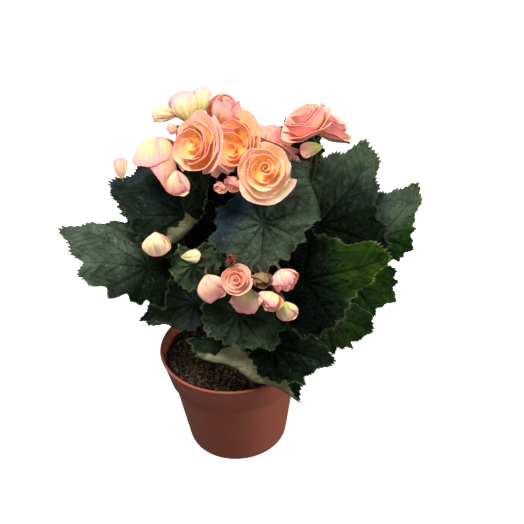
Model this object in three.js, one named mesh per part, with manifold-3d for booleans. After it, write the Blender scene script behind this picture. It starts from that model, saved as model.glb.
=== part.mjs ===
// A potted begonia with double, rose-shaped flowers, in a terracotta-coloured plastic nursery pot.
// Millimetres, +Z up. The origin is the middle of the pot's flat base, and -Y is the front.
// The pot stands on its base, the soil fills it, and seven leafy shoots stand in holes in the soil.
// Blooms and buds sit on the ends of the shoots' flower stalks.
import * as THREE from "three";
import { mergeVertices } from "three/addons/utils/BufferGeometryUtils.js";
import Module from "manifold-3d";

const wasm = await Module();
wasm.setup();

// Driving dimensions
const POT_HEIGHT = 98;
const RIM_RADIUS = 65;
const LIP_HEIGHT = 2.4;
const BAND_HEIGHT = 28;
const BAND_STEP = 3;
const BASE_RADIUS = 45.3;
const WALL = 1.6;
const FLOOR = 2.6;
const DRAIN_HOLES = 6;
const DRAIN_HOLE_RADIUS = 4;
const DRAIN_RING_RADIUS = 33;
const SOIL_LEVEL = 90;
const SOIL_RELIEF = 2.4;
const FIT_GAP = 0.3;
const ROOT_DEPTH = 26;
const LEAF_THICKNESS = 1;
const PETAL_THICKNESS = 0.8;
const STEM_RADIUS = 3.6;
const PETIOLE_RADIUS = 1.7;
const FLOWER_STALK_RADIUS = 1.6;

const UP = new THREE.Vector3(0, 0, 1);
const vec = (values) => new THREE.Vector3(...values);
const degrees = (value) => (value * Math.PI) / 180;
const clamp01 = (value) => Math.min(1, Math.max(0, value));

// A seeded draw, so that the soil's relief is the same each time.
function seeded(seed) {
  let state = seed;
  return () => {
    state = (state * 1664525 + 1013904223) % 4294967296;
    return state / 4294967296;
  };
}

// Solids

function solidOf(points, faces) {
  return new wasm.Manifold(
    new wasm.Mesh({
      numProp: 3,
      vertProperties: new Float32Array(points.flatMap((p) => [p.x, p.y, p.z])),
      triVerts: new Uint32Array(faces.flat()),
    }),
  );
}

function solidOfGeometry(geometry) {
  const bare = geometry.clone();
  bare.deleteAttribute("normal");
  bare.deleteAttribute("uv");
  const merged = mergeVertices(bare, 1e-3);
  return new wasm.Manifold(
    new wasm.Mesh({
      numProp: 3,
      vertProperties: merged.attributes.position.array,
      triVerts: new Uint32Array(merged.index.array),
    }),
  );
}

function geometryOf(solid) {
  const mesh = solid.getMesh();
  const geometry = new THREE.BufferGeometry();
  const positions = new Float32Array(mesh.numVert * 3);
  for (let i = 0; i < mesh.numVert; i++)
    positions.set(mesh.vertProperties.subarray(i * mesh.numProp, i * mesh.numProp + 3), i * 3);
  geometry.setAttribute("position", new THREE.BufferAttribute(positions, 3));
  geometry.setIndex(new THREE.BufferAttribute(mesh.triVerts, 1));
  geometry.computeVertexNormals();
  return geometry;
}

function joined(solids) {
  return solids.reduce((whole, next) => whole.add(next));
}

// A sheet of triangles made into a blade: both faces are split alike, half the thickness to each side.
function blade(points, faces, thickness) {
  const normals = points.map(() => new THREE.Vector3());
  for (const [a, b, c] of faces) {
    const ab = points[b].clone().sub(points[a]);
    const normal = points[c].clone().sub(points[a]);
    normal.crossVectors(ab, normal);
    for (const i of [a, b, c]) normals[i].add(normal);
  }
  const top = points.map((p, i) => p.clone().addScaledVector(normals[i].normalize(), thickness / 2));
  const bottom = points.map((p, i) => p.clone().addScaledVector(normals[i], -thickness / 2));
  const count = points.length;
  const edges = new Set(faces.flatMap(([a, b, c]) => [`${a},${b}`, `${b},${c}`, `${c},${a}`]));
  const walls = [];
  for (const edge of edges) {
    const [a, b] = edge.split(",").map(Number);
    if (!edges.has(`${b},${a}`)) walls.push([a, a + count, b + count], [a, b + count, b]);
  }
  const under = faces.map(([a, b, c]) => [a + count, c + count, b + count]);
  return solidOf([...top, ...bottom], [...faces, ...under, ...walls]);
}

// A round stalk along a curve, which may taper.
function stalk(curve, startRadius, endRadius, segments, sides) {
  const frames = curve.computeFrenetFrames(segments, false);
  const points = [];
  const faces = [];
  for (let i = 0; i <= segments; i++) {
    const centre = curve.getPointAt(i / segments);
    const radius = startRadius + ((endRadius - startRadius) * i) / segments;
    for (let j = 0; j < sides; j++) {
      const turn = (j / sides) * 2 * Math.PI;
      points.push(
        centre
          .clone()
          .addScaledVector(frames.normals[i], radius * Math.cos(turn))
          .addScaledVector(frames.binormals[i], radius * Math.sin(turn)),
      );
    }
  }
  for (let i = 0; i < segments; i++)
    for (let j = 0; j < sides; j++) {
      const next = (j + 1) % sides;
      const low = i * sides;
      faces.push([low + j, low + next, low + sides + next], [low + j, low + sides + next, low + sides + j]);
    }
  const last = segments * sides;
  for (let j = 1; j < sides - 1; j++) faces.push([0, j + 1, j], [last, last + j, last + j + 1]);
  return solidOf(points, faces);
}

// Pot and soil

const BAND_BOTTOM = POT_HEIGHT - BAND_HEIGHT;
const BODY_TOP_RADIUS = 55.4;
const BAND_LOW_RADIUS = BODY_TOP_RADIUS + BAND_STEP;
const BAND_HIGH_RADIUS = RIM_RADIUS - 1.2;

function potSolid() {
  const outline = [
    [0, 0],
    [BASE_RADIUS - 2, 0],
    [BASE_RADIUS, 1.6],
    [BODY_TOP_RADIUS, BAND_BOTTOM - 1],
    [BAND_LOW_RADIUS, BAND_BOTTOM + 1],
    [BAND_HIGH_RADIUS, POT_HEIGHT - LIP_HEIGHT],
    [RIM_RADIUS, POT_HEIGHT - LIP_HEIGHT + 0.6],
    [RIM_RADIUS - 0.4, POT_HEIGHT],
    [RIM_RADIUS - 2.2, POT_HEIGHT],
    [BAND_HIGH_RADIUS - WALL, POT_HEIGHT - LIP_HEIGHT],
    [BAND_LOW_RADIUS - WALL, BAND_BOTTOM + 2.6],
    [BASE_RADIUS - WALL, FLOOR],
    [0, FLOOR],
  ];
  const body = new THREE.LatheGeometry(outline.map(([r, z]) => new THREE.Vector2(r, z)), 32);
  body.rotateX(Math.PI / 2);
  let pot = solidOfGeometry(body);
  for (let i = 0; i < DRAIN_HOLES; i++) {
    const turn = (i / DRAIN_HOLES) * 2 * Math.PI;
    const hole = new THREE.CylinderGeometry(DRAIN_HOLE_RADIUS, DRAIN_HOLE_RADIUS, 4 * FLOOR, 6);
    hole.rotateX(Math.PI / 2);
    hole.translate(DRAIN_RING_RADIUS * Math.cos(turn), DRAIN_RING_RADIUS * Math.sin(turn), 0);
    pot = pot.subtract(solidOfGeometry(hole));
  }
  return pot;
}

const SOIL_RINGS = 6;
const SOIL_TURNS = 22;

function soilSolid(roots) {
  const draw = seeded(11);
  const wallAt = (z) =>
    z > BAND_BOTTOM + 2.6
      ? BAND_LOW_RADIUS +
        ((BAND_HIGH_RADIUS - BAND_LOW_RADIUS) * (z - BAND_BOTTOM - 1)) / (BAND_HEIGHT - LIP_HEIGHT - 1)
      : BASE_RADIUS + ((BODY_TOP_RADIUS - BASE_RADIUS) * (z - 1.6)) / (BAND_BOTTOM - 2.6);
  const soilEdge = (z) => wallAt(z) - WALL - 3 * FIT_GAP;
  const points = [];
  const faces = [];
  const ring = (radius, z, relief) => {
    for (let j = 0; j < SOIL_TURNS; j++) {
      const turn = (j / SOIL_TURNS) * 2 * Math.PI;
      const height = z + relief * (draw() - 0.5) * 2;
      points.push(new THREE.Vector3(radius * Math.cos(turn), radius * Math.sin(turn), height));
    }
  };
  const floor = FLOOR + FIT_GAP;
  ring(soilEdge(floor), floor, 0);
  ring(soilEdge(BAND_BOTTOM - 2), BAND_BOTTOM - 2, 0);
  ring(soilEdge(SOIL_LEVEL - 4) - 0.4, SOIL_LEVEL - 4, 0);
  for (let i = SOIL_RINGS; i >= 1; i--) {
    const share = i / SOIL_RINGS;
    const radius = (soilEdge(SOIL_LEVEL - 4) - 0.8) * share;
    ring(radius, SOIL_LEVEL + 1.5 - 2.5 * share, SOIL_RELIEF * 0.6);
  }
  const rings = points.length / SOIL_TURNS;
  for (let i = 0; i < rings - 1; i++)
    for (let j = 0; j < SOIL_TURNS; j++) {
      const next = (j + 1) % SOIL_TURNS;
      const low = i * SOIL_TURNS;
      const high = low + SOIL_TURNS;
      faces.push([low + j, low + next, high + next], [low + j, high + next, high + j]);
    }
  points.push(new THREE.Vector3(0, 0, floor), new THREE.Vector3(0, 0, SOIL_LEVEL + 1.5));
  const bottomMiddle = points.length - 2;
  const topMiddle = points.length - 1;
  for (let j = 0; j < SOIL_TURNS; j++) {
    const next = (j + 1) % SOIL_TURNS;
    const last = (rings - 1) * SOIL_TURNS;
    faces.push([bottomMiddle, next, j], [topMiddle, last + j, last + next]);
  }
  let soil = solidOf(points, faces);
  for (const [x, y] of roots) {
    const hole = new THREE.CylinderGeometry(STEM_RADIUS + 0.6, STEM_RADIUS + 0.6, ROOT_DEPTH + 20, 8);
    hole.rotateX(Math.PI / 2);
    hole.translate(x, y, SOIL_LEVEL - ROOT_DEPTH - FIT_GAP + (ROOT_DEPTH + 20) / 2);
    soil = soil.subtract(solidOfGeometry(hole));
  }
  return soil;
}

// Leaves: ten veins fan out from the hub, where the stalk meets the blade, 36 degrees apart. Each leaf's row
// gives how far the edge reaches at each vein: first at the tip, then round its left side to the notch
// opposite the tip, and back along its right side. Between two veins the edge draws in and is cut into teeth.
const VEINS = 10;
const VEIN_STEP = (2 * Math.PI) / VEINS;
const LOBE_DEPTH = 0.09;
const TOOTH_DEPTH = 0.05;
const EDGE_POINTS = 40;
const INNER_SHARE = 0.58;
const COMMON_REACH = [1, 0.82, 0.72, 0.66, 0.58, 0.3, 0.58, 0.66, 0.72, 0.82];
const LEAF_DEFAULTS = {
  facing: [0, 0, 1],
  droop: 0.12,
  arch: 0.12,
  wave: 3,
  waves: 5,
  phase: 0,
  quilt: 2,
  curls: [],
};

function edgeReach(leaf, angle) {
  const turns = (angle / VEIN_STEP + VEINS) % VEINS;
  const vein = Math.floor(turns + 1e-6) % VEINS;
  const share = clamp01(turns - vein);
  const smooth = (1 - Math.cos(Math.PI * share)) / 2;
  const between = leaf.reach[vein] * (1 - smooth) + leaf.reach[(vein + 1) % VEINS] * smooth;
  return between * (1 - LOBE_DEPTH * Math.sin(Math.PI * share));
}

// The blade's point at an angle from the tip and a share of the way from the hub to the edge. A curl rolls
// the margin that lies past a line across the blade round a roller, up when the roller's radius is positive.
function leafPoint(leaf, angle, share, tooth) {
  const reach = edgeReach(leaf, angle) * (1 - tooth) * share;
  let x = reach * Math.cos(angle);
  let y = reach * Math.sin(angle);
  const between = Math.sin((Math.PI * angle) / VEIN_STEP) ** 2;
  let z = leaf.quilt * between * share * (1.2 - 0.7 * share);
  z -= (leaf.droop * x * Math.abs(x) + leaf.arch * y * y) / leaf.reach[0];
  z += leaf.wave * share * share * Math.sin(leaf.waves * angle + leaf.phase);
  for (const [towards, start, radius, most] of leaf.curls) {
    const cos = Math.cos(degrees(towards));
    const sin = Math.sin(degrees(towards));
    const past = x * cos + y * sin - start;
    if (past <= 0) continue;
    const turn = Math.min(past / Math.abs(radius), degrees(most));
    const rest = past - turn * Math.abs(radius);
    const along = Math.abs(radius) * Math.sin(turn) + rest * Math.cos(turn);
    x += (along - past) * cos;
    y += (along - past) * sin;
    z += Math.sign(radius) * (Math.abs(radius) * (1 - Math.cos(turn)) + rest * Math.sin(turn));
  }
  return leaf.hubPoint
    .clone()
    .addScaledVector(leaf.along, x)
    .addScaledVector(leaf.across, y)
    .addScaledVector(leaf.normal, z);
}

function placedLeaf(row) {
  const leaf = { ...LEAF_DEFAULTS, ...row };
  leaf.hubPoint = vec(leaf.hub);
  const reach = vec(leaf.tip).sub(leaf.hubPoint);
  leaf.reach = row.reach ?? COMMON_REACH.map((share) => share * reach.length());
  leaf.along = reach.normalize();
  leaf.normal = vec(leaf.facing).projectOnPlane(leaf.along).normalize();
  leaf.across = leaf.normal.clone().cross(leaf.along);
  return leaf;
}

function leafSolid(leaf) {
  const points = [leaf.hubPoint.clone()];
  const faces = [];
  for (let i = 0; i < VEINS; i++) points.push(leafPoint(leaf, (i + 0.5) * VEIN_STEP, INNER_SHARE, 0));
  for (let i = 0; i < EDGE_POINTS; i++)
    points.push(leafPoint(leaf, (i / EDGE_POINTS) * 2 * Math.PI, 1, i % 2 ? TOOTH_DEPTH : 0));
  const perVein = EDGE_POINTS / VEINS;
  for (let i = 0; i < VEINS; i++) {
    const before = 1 + ((i + VEINS - 1) % VEINS);
    const edge = 1 + VEINS + perVein * i;
    faces.push([0, before, 1 + i], [before, edge, 1 + i]);
    for (let j = 0; j < perVein; j++) {
      const next = 1 + VEINS + ((perVein * i + j + 1) % EDGE_POINTS);
      faces.push([1 + i, edge + j, next]);
    }
  }
  return blade(points, faces, LEAF_THICKNESS);
}

// Petals: each layer of a flower lies on a bowl round the flower's axis, which runs from its foot through its
// belly to its rim. The layer's petals stand side by side on it. Their tops are rounded, and each one's edge
// stands out over the next one's. Sizes are shares of the flower's radius, measured from its middle.
const FORMS = {
  rose: {
    columns: 20,
    heart: 0.34,
    layers: [
      { count: 5, foot: [0.07, -0.46], belly: [0.82, -0.5], rim: [1.04, 0.02] },
      { count: 4, foot: [0.07, -0.36], belly: [0.72, -0.36], rim: [0.76, 0.26] },
      { count: 4, foot: [0.07, -0.26], belly: [0.44, -0.24], rim: [0.44, 0.36] },
    ],
  },
  cup: {
    columns: 16,
    heart: 0.4,
    layers: [
      { count: 4, foot: [0.07, -0.5], belly: [0.98, -0.5], rim: [1, 0.2] },
      { count: 4, foot: [0.07, -0.36], belly: [0.66, -0.36], rim: [0.6, 0.4] },
    ],
  },
  loose: {
    columns: 15,
    heart: 0.5,
    layers: [
      { count: 3, foot: [0.07, -0.7], belly: [1.02, -0.6], rim: [0.92, 0.4] },
      { count: 3, foot: [0.07, -0.5], belly: [0.58, -0.4], rim: [0.46, 0.54] },
    ],
  },
  bud: {
    columns: 10,
    heart: 0.85,
    layers: [{ count: 2, foot: [0.05, -0.95], belly: [1.75, -0.1], rim: [0.3, 0.95] }],
  },
  slim_bud: {
    columns: 10,
    heart: 0.85,
    layers: [{ count: 2, foot: [0.05, -0.95], belly: [0.9, 0], rim: [0.25, 0.95] }],
  },
};
const LAYER_TURN = 0.3;
const SPIRAL = 0.11;
const ROUNDING = 0.22;
const SEAM = 0.1;
const FOOT_SHARE = 0.12;
const BELLY_SHARE = 0.55;
const TROUGH_SHARE = 0.3;

// A point of a layer's bowl, at a share of the way up it, on its outer face or the inner one.
function bowlPoint(form, layer, depth, column, share, inside, radius) {
  const perPetal = form.columns / layer.count;
  const petal = Math.floor(column / perPetal);
  const u = (2 * (column % perPetal)) / (perPetal - 1) - 1;
  const t = share * (1 - ROUNDING * u * u * share);
  const early = (1 - t) ** 2;
  const middle = 2 * t * (1 - t);
  let out = radius * (early * layer.foot[0] + middle * layer.belly[0] + t * t * layer.rim[0]);
  let up = radius * (early * layer.foot[1] + middle * layer.belly[1] + t * t * layer.rim[1]);
  out *= 1 + SPIRAL * u;
  if (inside) {
    const outward = (1 - t) * (layer.belly[0] - layer.foot[0]) + t * (layer.rim[0] - layer.belly[0]);
    const upward = (1 - t) * (layer.belly[1] - layer.foot[1]) + t * (layer.rim[1] - layer.belly[1]);
    const slope = Math.hypot(outward, upward);
    out -= (PETAL_THICKNESS * upward) / slope;
    up += (PETAL_THICKNESS * outward) / slope;
  }
  const turn = ((petal + 0.5 + (u / 2) * (1 - SEAM)) / layer.count) * 2 * Math.PI + depth * LAYER_TURN;
  return new THREE.Vector3(out * Math.cos(turn), out * Math.sin(turn), up);
}

// A flower's foot is where its petals meet and its stalk ends.
function footOf(flower) {
  const depth = FORMS[flower.form].layers[0].foot[1];
  return vec(flower.centre).addScaledVector(vec(flower.facing).normalize(), depth * flower.radius);
}

// A flower is one closed skin: it runs up the outside of each layer, over its rim, down its inside to the
// trough before the next layer, and closes over the heart.
function flowerSolid(flower) {
  const form = FORMS[flower.form];
  const turn = new THREE.Quaternion().setFromUnitVectors(UP, vec(flower.facing).normalize());
  const centre = vec(flower.centre);
  const place = (point) => point.applyQuaternion(turn).add(centre);
  const last = form.layers.length - 1;
  const points = [place(new THREE.Vector3(0, 0, form.layers[0].foot[1] * flower.radius))];
  const ring = (depth, share, inside) => {
    for (let i = 0; i < form.columns; i++)
      points.push(place(bowlPoint(form, form.layers[depth], depth, i, share, inside, flower.radius)));
  };
  form.layers.forEach((layer, depth) => {
    if (depth === 0) ring(depth, FOOT_SHARE, false);
    ring(depth, BELLY_SHARE, false);
    ring(depth, 1, false);
    ring(depth, 1, true);
    if (flower.form !== "bud") ring(depth, BELLY_SHARE, true);
    if (depth < last) ring(depth, TROUGH_SHARE, true);
  });
  points.push(place(new THREE.Vector3(0, 0, form.heart * flower.radius)));
  const faces = [];
  const rings = (points.length - 2) / form.columns;
  for (let i = 0; i < form.columns; i++) {
    const next = (i + 1) % form.columns;
    faces.push([0, 1 + next, 1 + i]);
    for (let j = 0; j < rings - 1; j++) {
      const low = 1 + j * form.columns;
      const high = low + form.columns;
      faces.push([low + i, low + next, high + next], [low + i, high + next, high + i]);
    }
    const top = 1 + (rings - 1) * form.columns;
    faces.push([points.length - 1, top + i, top + next]);
  }
  return solidOf(points, faces);
}

// Shoots: each stem runs from its hole in the soil through its points. A leaf's stalk leaves the stem at a
// share of its length and meets the blade from below, and a flower's stalk leaves it near its top.
const SHOOTS = {
  west: { root: [-15, -3], through: [[-26, -6, 130], [-40, -4, 178]] },
  northwest: { root: [-7, 12], through: [[-12, 14, 150], [-16, 16, 230]] },
  front: { root: [-3, -15], through: [[0, -26, 140], [4, -34, 200]] },
  middle: { root: [5, 1], through: [[8, 2, 160], [14, 4, 248]] },
  east: { root: [16, -6], through: [[34, -14, 125], [56, -20, 172]] },
  northeast: { root: [14, 12], through: [[36, 16, 150], [56, 6, 216]] },
  back: { root: [-1, 24], through: [[2, 38, 140], [4, 48, 190]] },
};

const LEAVES = [
  {
    name: "west_large", shoot: "west", at: 0.8,
    hub: [-64, -14, 193], tip: [-140, 30, 216], facing: [0.1, -0.55, 0.8],
    reach: [90, 58, 40, 34, 38, 22, 20, 14, 14, 20],
  },
  {
    name: "west_behind", shoot: "west", at: 0.9,
    hub: [-66, 26, 193], tip: [-118, 48, 205], facing: [0, -0.25, 1],
    reach: [56, 26, 20, 18, 16, 10, 16, 22, 28, 34], curls: [[90, 12, 4, 130]],
  },
  {
    name: "west_low", shoot: "west", at: 0.4,
    hub: [-28, -26, 163], tip: [-76, -32, 154], facing: [0, -0.5, 0.85],
    reach: [50, 28, 24, 22, 22, 10, 20, 22, 24, 36],
  },
  { name: "west_back", shoot: "west", at: 0.6, hub: [-56, 34, 156], tip: [-112, 58, 154] },
  {
    name: "northwest_upper", shoot: "northwest", at: 0.85,
    hub: [-31, -10, 238], tip: [-92, 24, 254], facing: [0, -0.6, 0.8],
    reach: [76, 46, 44, 40, 30, 12, 16, 24, 46, 74], curls: [[150, 12, 4.5, 150], [75, 36, 4, 140]],
  },
  { name: "northwest_back", shoot: "northwest", at: 0.75, hub: [-40, 42, 216], tip: [-86, 92, 222] },
  {
    name: "middle_dark", shoot: "northwest", at: 0.65,
    hub: [-7, -8, 204], tip: [-9, 2, 242], facing: [0, -1, 0.2],
  },
  {
    name: "front_top", shoot: "front", at: 0.9,
    hub: [31, -40, 245], tip: [30, -66, 220], facing: [0, -0.8, 0.55],
    reach: [39, 33, 34, 54, 62, 28, 30, 37, 43, 43], curls: [[100, 38, -5, 80]],
  },
  {
    name: "front_small", shoot: "front", at: 0.7,
    hub: [-25, -46, 213], tip: [-27, -60, 199], facing: [0, -0.75, 0.65],
    reach: [20, 19, 21, 25, 22, 12, 18, 18, 18, 18],
  },
  {
    name: "front_middle", shoot: "front", at: 0.6,
    hub: [8, -58, 174], tip: [12, -76, 156], facing: [0, -0.7, 0.7],
    reach: [28, 40, 42, 34, 26, 18, 26, 30, 30, 26],
  },
  {
    name: "front_screen", shoot: "front", at: 0.85,
    hub: [14, -36, 196], tip: [20, -52, 172], facing: [0, -0.8, 0.5],
    reach: [30, 30, 28, 22, 20, 22, 24, 26, 28, 30],
  },
  {
    name: "front_rim", shoot: "front", at: 0.4,
    hub: [5, -44, 132], tip: [60, -76, 100], facing: [0, -0.4, 0.9],
    reach: [72, 30, 22, 22, 26, 16, 40, 40, 46, 60], curls: [[-73, 18, 4.5, 150]],
  },
  { name: "middle_back", shoot: "middle", at: 0.9, hub: [10, 40, 262], tip: [12, 88, 274] },
  {
    name: "middle_screen", shoot: "middle", at: 0.7,
    hub: [10, 34, 238], tip: [8, 48, 276], facing: [0, -0.8, 0.5],
    reach: [40, 36, 32, 28, 22, 14, 22, 28, 32, 36],
  },
  {
    name: "top_back", shoot: "middle", at: 0.9,
    hub: [64, 42, 262], tip: [52, 48, 290], facing: [0, -0.8, 0.5],
  },
  {
    name: "east_front", shoot: "east", at: 0.9,
    hub: [61, -52, 198], tip: [135, -30, 209], facing: [0, -0.7, 0.7],
    reach: [76, 44, 48, 40, 42, 32, 38, 46, 44, 42],
  },
  {
    name: "east_rim", shoot: "front", at: 0.55,
    hub: [34, -62, 143], tip: [85, -58, 125], facing: [0.1, -0.7, 0.7],
    reach: [56, 36, 30, 26, 24, 12, 22, 26, 30, 40],
  },
  {
    name: "east_low", shoot: "east", at: 0.6,
    hub: [80, -11, 134], tip: [129, -3, 116], facing: [0, -0.6, 0.8],
    reach: [54, 28, 24, 26, 24, 12, 24, 28, 34, 38],
  },
  {
    name: "northeast_large", shoot: "northeast", at: 0.9,
    hub: [77, 14, 208], tip: [130, 66, 259], facing: [-0.1, -0.7, 0.7],
    reach: [90, 68, 42, 28, 18, 10, 22, 40, 62, 54],
  },
  {
    name: "east_outer", shoot: "northeast", at: 0.75,
    hub: [132, 34, 181], tip: [171, 68, 217], facing: [0, -0.6, 0.8],
    reach: [62, 42, 26, 22, 22, 12, 22, 26, 30, 32],
  },
  {
    name: "east_middle", shoot: "northeast", at: 0.6,
    hub: [106, 22, 141], tip: [154, 40, 148], facing: [0, -0.6, 0.8],
    reach: [48, 36, 30, 26, 24, 12, 26, 30, 34, 44],
  },
  { name: "northeast_back", shoot: "northeast", at: 0.7, hub: [76, 64, 198], tip: [118, 110, 198] },
  { name: "back_left", shoot: "back", at: 0.8, hub: [-24, 68, 172], tip: [-56, 124, 160] },
  { name: "back_right", shoot: "back", at: 0.85, hub: [30, 76, 180], tip: [48, 134, 170] },
  { name: "back_low", shoot: "back", at: 0.35, hub: [4, 66, 124], tip: [-2, 122, 104] },
  { name: "back_low_left", shoot: "back", at: 0.5, hub: [-34, 62, 130], tip: [-74, 100, 116] },
  { name: "back_low_right", shoot: "back", at: 0.55, hub: [48, 62, 146], tip: [98, 98, 134] },
];

const FLOWERS = [
  {
    name: "bloom_left", shoot: "northwest", form: "loose",
    centre: [-51, 8, 283], facing: [-0.05, -0.55, -0.84], radius: 18.5,
  },
  {
    name: "bloom_top_left", shoot: "northwest", form: "cup",
    centre: [-19, -26, 303], facing: [-0.6, -0.6, 0.45], radius: 19,
  },
  {
    name: "bloom_top_middle", shoot: "middle", form: "cup",
    centre: [11, 4, 289], facing: [-0.4, -0.7, 0.5], radius: 20,
  },
  {
    name: "bloom_front", shoot: "middle", form: "rose",
    centre: [33, -40, 289], facing: [0.05, -0.85, 0.5], radius: 20,
  },
  {
    name: "bloom_behind", shoot: "middle", form: "loose",
    centre: [43, 20, 283], facing: [0.3, 0.4, 0.7], radius: 15,
  },
  {
    name: "bloom_crown", shoot: "northwest", form: "loose",
    centre: [5, 30, 311], facing: [0.3, 0.5, 0.8], radius: 13,
  },
  {
    name: "bloom_right_left", shoot: "northeast", form: "loose",
    centre: [65, 0, 310], facing: [-0.4, 0.05, 0.85], radius: 16,
  },
  {
    name: "bloom_right", shoot: "northeast", form: "loose",
    centre: [86, 24, 296], facing: [0.5, 0.1, 0.8], radius: 16,
  },
  {
    name: "bloom_low", shoot: "front", form: "rose",
    centre: [9, -73, 216], facing: [-0.1, -0.8, 0.55], radius: 12,
  },
  {
    name: "bloom_back_left", shoot: "back", form: "cup",
    centre: [-14, 90, 232], facing: [-0.3, 0.7, 0.6], radius: 18,
  },
  {
    name: "bloom_back_right", shoot: "back", form: "cup",
    centre: [26, 92, 226], facing: [0.35, 0.7, 0.55], radius: 17,
  },
  {
    name: "bud_crown_large", shoot: "northwest", form: "bud",
    centre: [-25, 5, 322], facing: [-0.1, 0.4, 0.9], radius: 13,
  },
  {
    name: "bud_crown_side", shoot: "northwest", form: "slim_bud",
    centre: [-42, 10, 314], facing: [-1, 0, 0.1], radius: 9.5,
  },
  {
    name: "bud_crown_tall", shoot: "northwest", form: "slim_bud",
    centre: [-13, 24, 319], facing: [0.12, 0.4, 0.88], radius: 12,
  },
  {
    name: "bud_crown_small", shoot: "northwest", form: "bud",
    centre: [-35, -4, 309], facing: [-0.8, -0.3, -0.1], radius: 4.5,
  },
  {
    name: "bud_hanging", shoot: "northwest", form: "bud",
    centre: [-32, -28, 275], facing: [0, -0.75, -0.6], radius: 9,
  },
  {
    name: "bud_small_middle", shoot: "middle", form: "bud",
    centre: [0, -40, 276], facing: [-0.2, -0.9, 0.3], radius: 5.5,
  },
  {
    name: "bud_opening_middle", shoot: "middle", form: "bud",
    centre: [9, -35, 276], facing: [-0.3, -0.9, 0], radius: 6.5,
  },
  {
    name: "bud_right_low", shoot: "northeast", form: "bud",
    centre: [69, -12, 291], facing: [-0.3, -0.9, 0], radius: 8,
  },
  {
    name: "bud_low_left", shoot: "front", form: "bud",
    centre: [-10, -66, 205], facing: [0.35, -0.5, -0.75], radius: 11.5,
  },
  {
    name: "bud_low_bottom", shoot: "front", form: "bud",
    centre: [15, -68, 193], facing: [0, -0.55, -0.84], radius: 11.5,
  },
  {
    name: "bud_low_right", shoot: "front", form: "bud",
    centre: [33, -84, 203], facing: [-0.3, -0.8, -0.4], radius: 9.5,
  },
  {
    name: "bud_low_green", shoot: "front", form: "bud",
    centre: [46, -79, 190], facing: [0.25, -0.5, -0.8], radius: 8,
  },
  {
    name: "bud_low_pink", shoot: "front", form: "bud",
    centre: [45, -71, 212], facing: [0.35, -0.5, -0.8], radius: 12,
  },
  {
    name: "bud_dim", shoot: "front", form: "bud",
    centre: [5, -67, 232], facing: [-0.2, -0.8, 0.5], radius: 5,
  },
  {
    name: "bud_faded", shoot: "front", form: "bud",
    centre: [28, -76, 217], facing: [0, -0.9, -0.2], radius: 6.5,
  },
  {
    name: "bud_white", shoot: "northwest", form: "bud",
    centre: [-50, -46, 233], facing: [0.15, -0.5, -0.8], radius: 10,
  },
  {
    name: "bud_yellow", shoot: "front", form: "slim_bud",
    centre: [-24, -58, 229], facing: [0.95, -0.2, 0.15], radius: 8.5,
  },
  {
    name: "bud_left_tip", shoot: "northwest", form: "slim_bud",
    centre: [-85, 40, 256], facing: [-0.1, 0.4, 0.9], radius: 9,
  },
  {
    name: "bud_tucked", shoot: "middle", form: "bud",
    centre: [56, 10, 272], facing: [0.3, -0.3, 0.9], radius: 6,
  },
  {
    name: "bud_back", shoot: "back", form: "bud",
    centre: [6, 100, 250], facing: [0, 0.5, 0.9], radius: 8,
  },
];

function stemCurve(shoot) {
  const [x, y] = shoot.root;
  const rooted = [-ROOT_DEPTH, -4, 8].map((height) => new THREE.Vector3(x, y, SOIL_LEVEL + height));
  return new THREE.CatmullRomCurve3([...rooted, ...shoot.through.map(vec)], false, "centripetal");
}

function petioleSolid(leaf, stem) {
  const start = stem.getPointAt(leaf.at);
  const heading = stem.getTangentAt(leaf.at).multiplyScalar(14);
  const under = leaf.hubPoint.clone().addScaledVector(leaf.normal, -16).addScaledVector(leaf.along, -10);
  const petiole = new THREE.CubicBezierCurve3(start, start.clone().add(heading), under, leaf.hubPoint);
  return stalk(petiole, PETIOLE_RADIUS, PETIOLE_RADIUS * 0.7, 3, 4);
}

function pedicelSolid(flower, stem) {
  const start = stem.getPointAt(0.96);
  const facing = vec(flower.facing).normalize();
  const end = footOf(flower).addScaledVector(facing, -FIT_GAP);
  const heading = stem.getTangentAt(0.96).multiplyScalar(0.4 * start.distanceTo(end));
  const behind = end.clone().addScaledVector(facing, -0.3 * start.distanceTo(end));
  const pedicel = new THREE.CubicBezierCurve3(start, start.clone().add(heading), behind, end);
  return stalk(pedicel, FLOWER_STALK_RADIUS, FLOWER_STALK_RADIUS * 0.7, 3, 3);
}

function shootPieces(name) {
  const stem = stemCurve(SHOOTS[name]);
  const leaves = LEAVES.filter((leaf) => leaf.shoot === name).map(placedLeaf);
  const flowers = FLOWERS.filter((flower) => flower.shoot === name);
  return [
    ["stem", stalk(stem, STEM_RADIUS, 2.2, 5, 6)],
    ...leaves.map((leaf) => [`stalk of ${leaf.name}`, petioleSolid(leaf, stem)]),
    ...leaves.map((leaf) => [leaf.name, leafSolid(leaf)]),
    ...flowers.map((flower) => [`stalk of ${flower.name}`, pedicelSolid(flower, stem)]),
  ];
}

// Assembly

const MATERIALS = {
  pot: { color: 0xa4512f, roughness: 0.5, metalness: 0 },
  soil: { color: 0x2a1d14, roughness: 1, metalness: 0 },
  foliage: { color: 0x24402a, roughness: 0.55, metalness: 0 },
  petal: { color: 0xf6a877, roughness: 0.6, metalness: 0 },
  bud: { color: 0xf0d2a8, roughness: 0.6, metalness: 0 },
};

const plant = new THREE.Group();

function addNode(name, solid, material) {
  const mesh = new THREE.Mesh(geometryOf(solid), new THREE.MeshStandardMaterial(MATERIALS[material]));
  mesh.name = name;
  plant.add(mesh);
}

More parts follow.
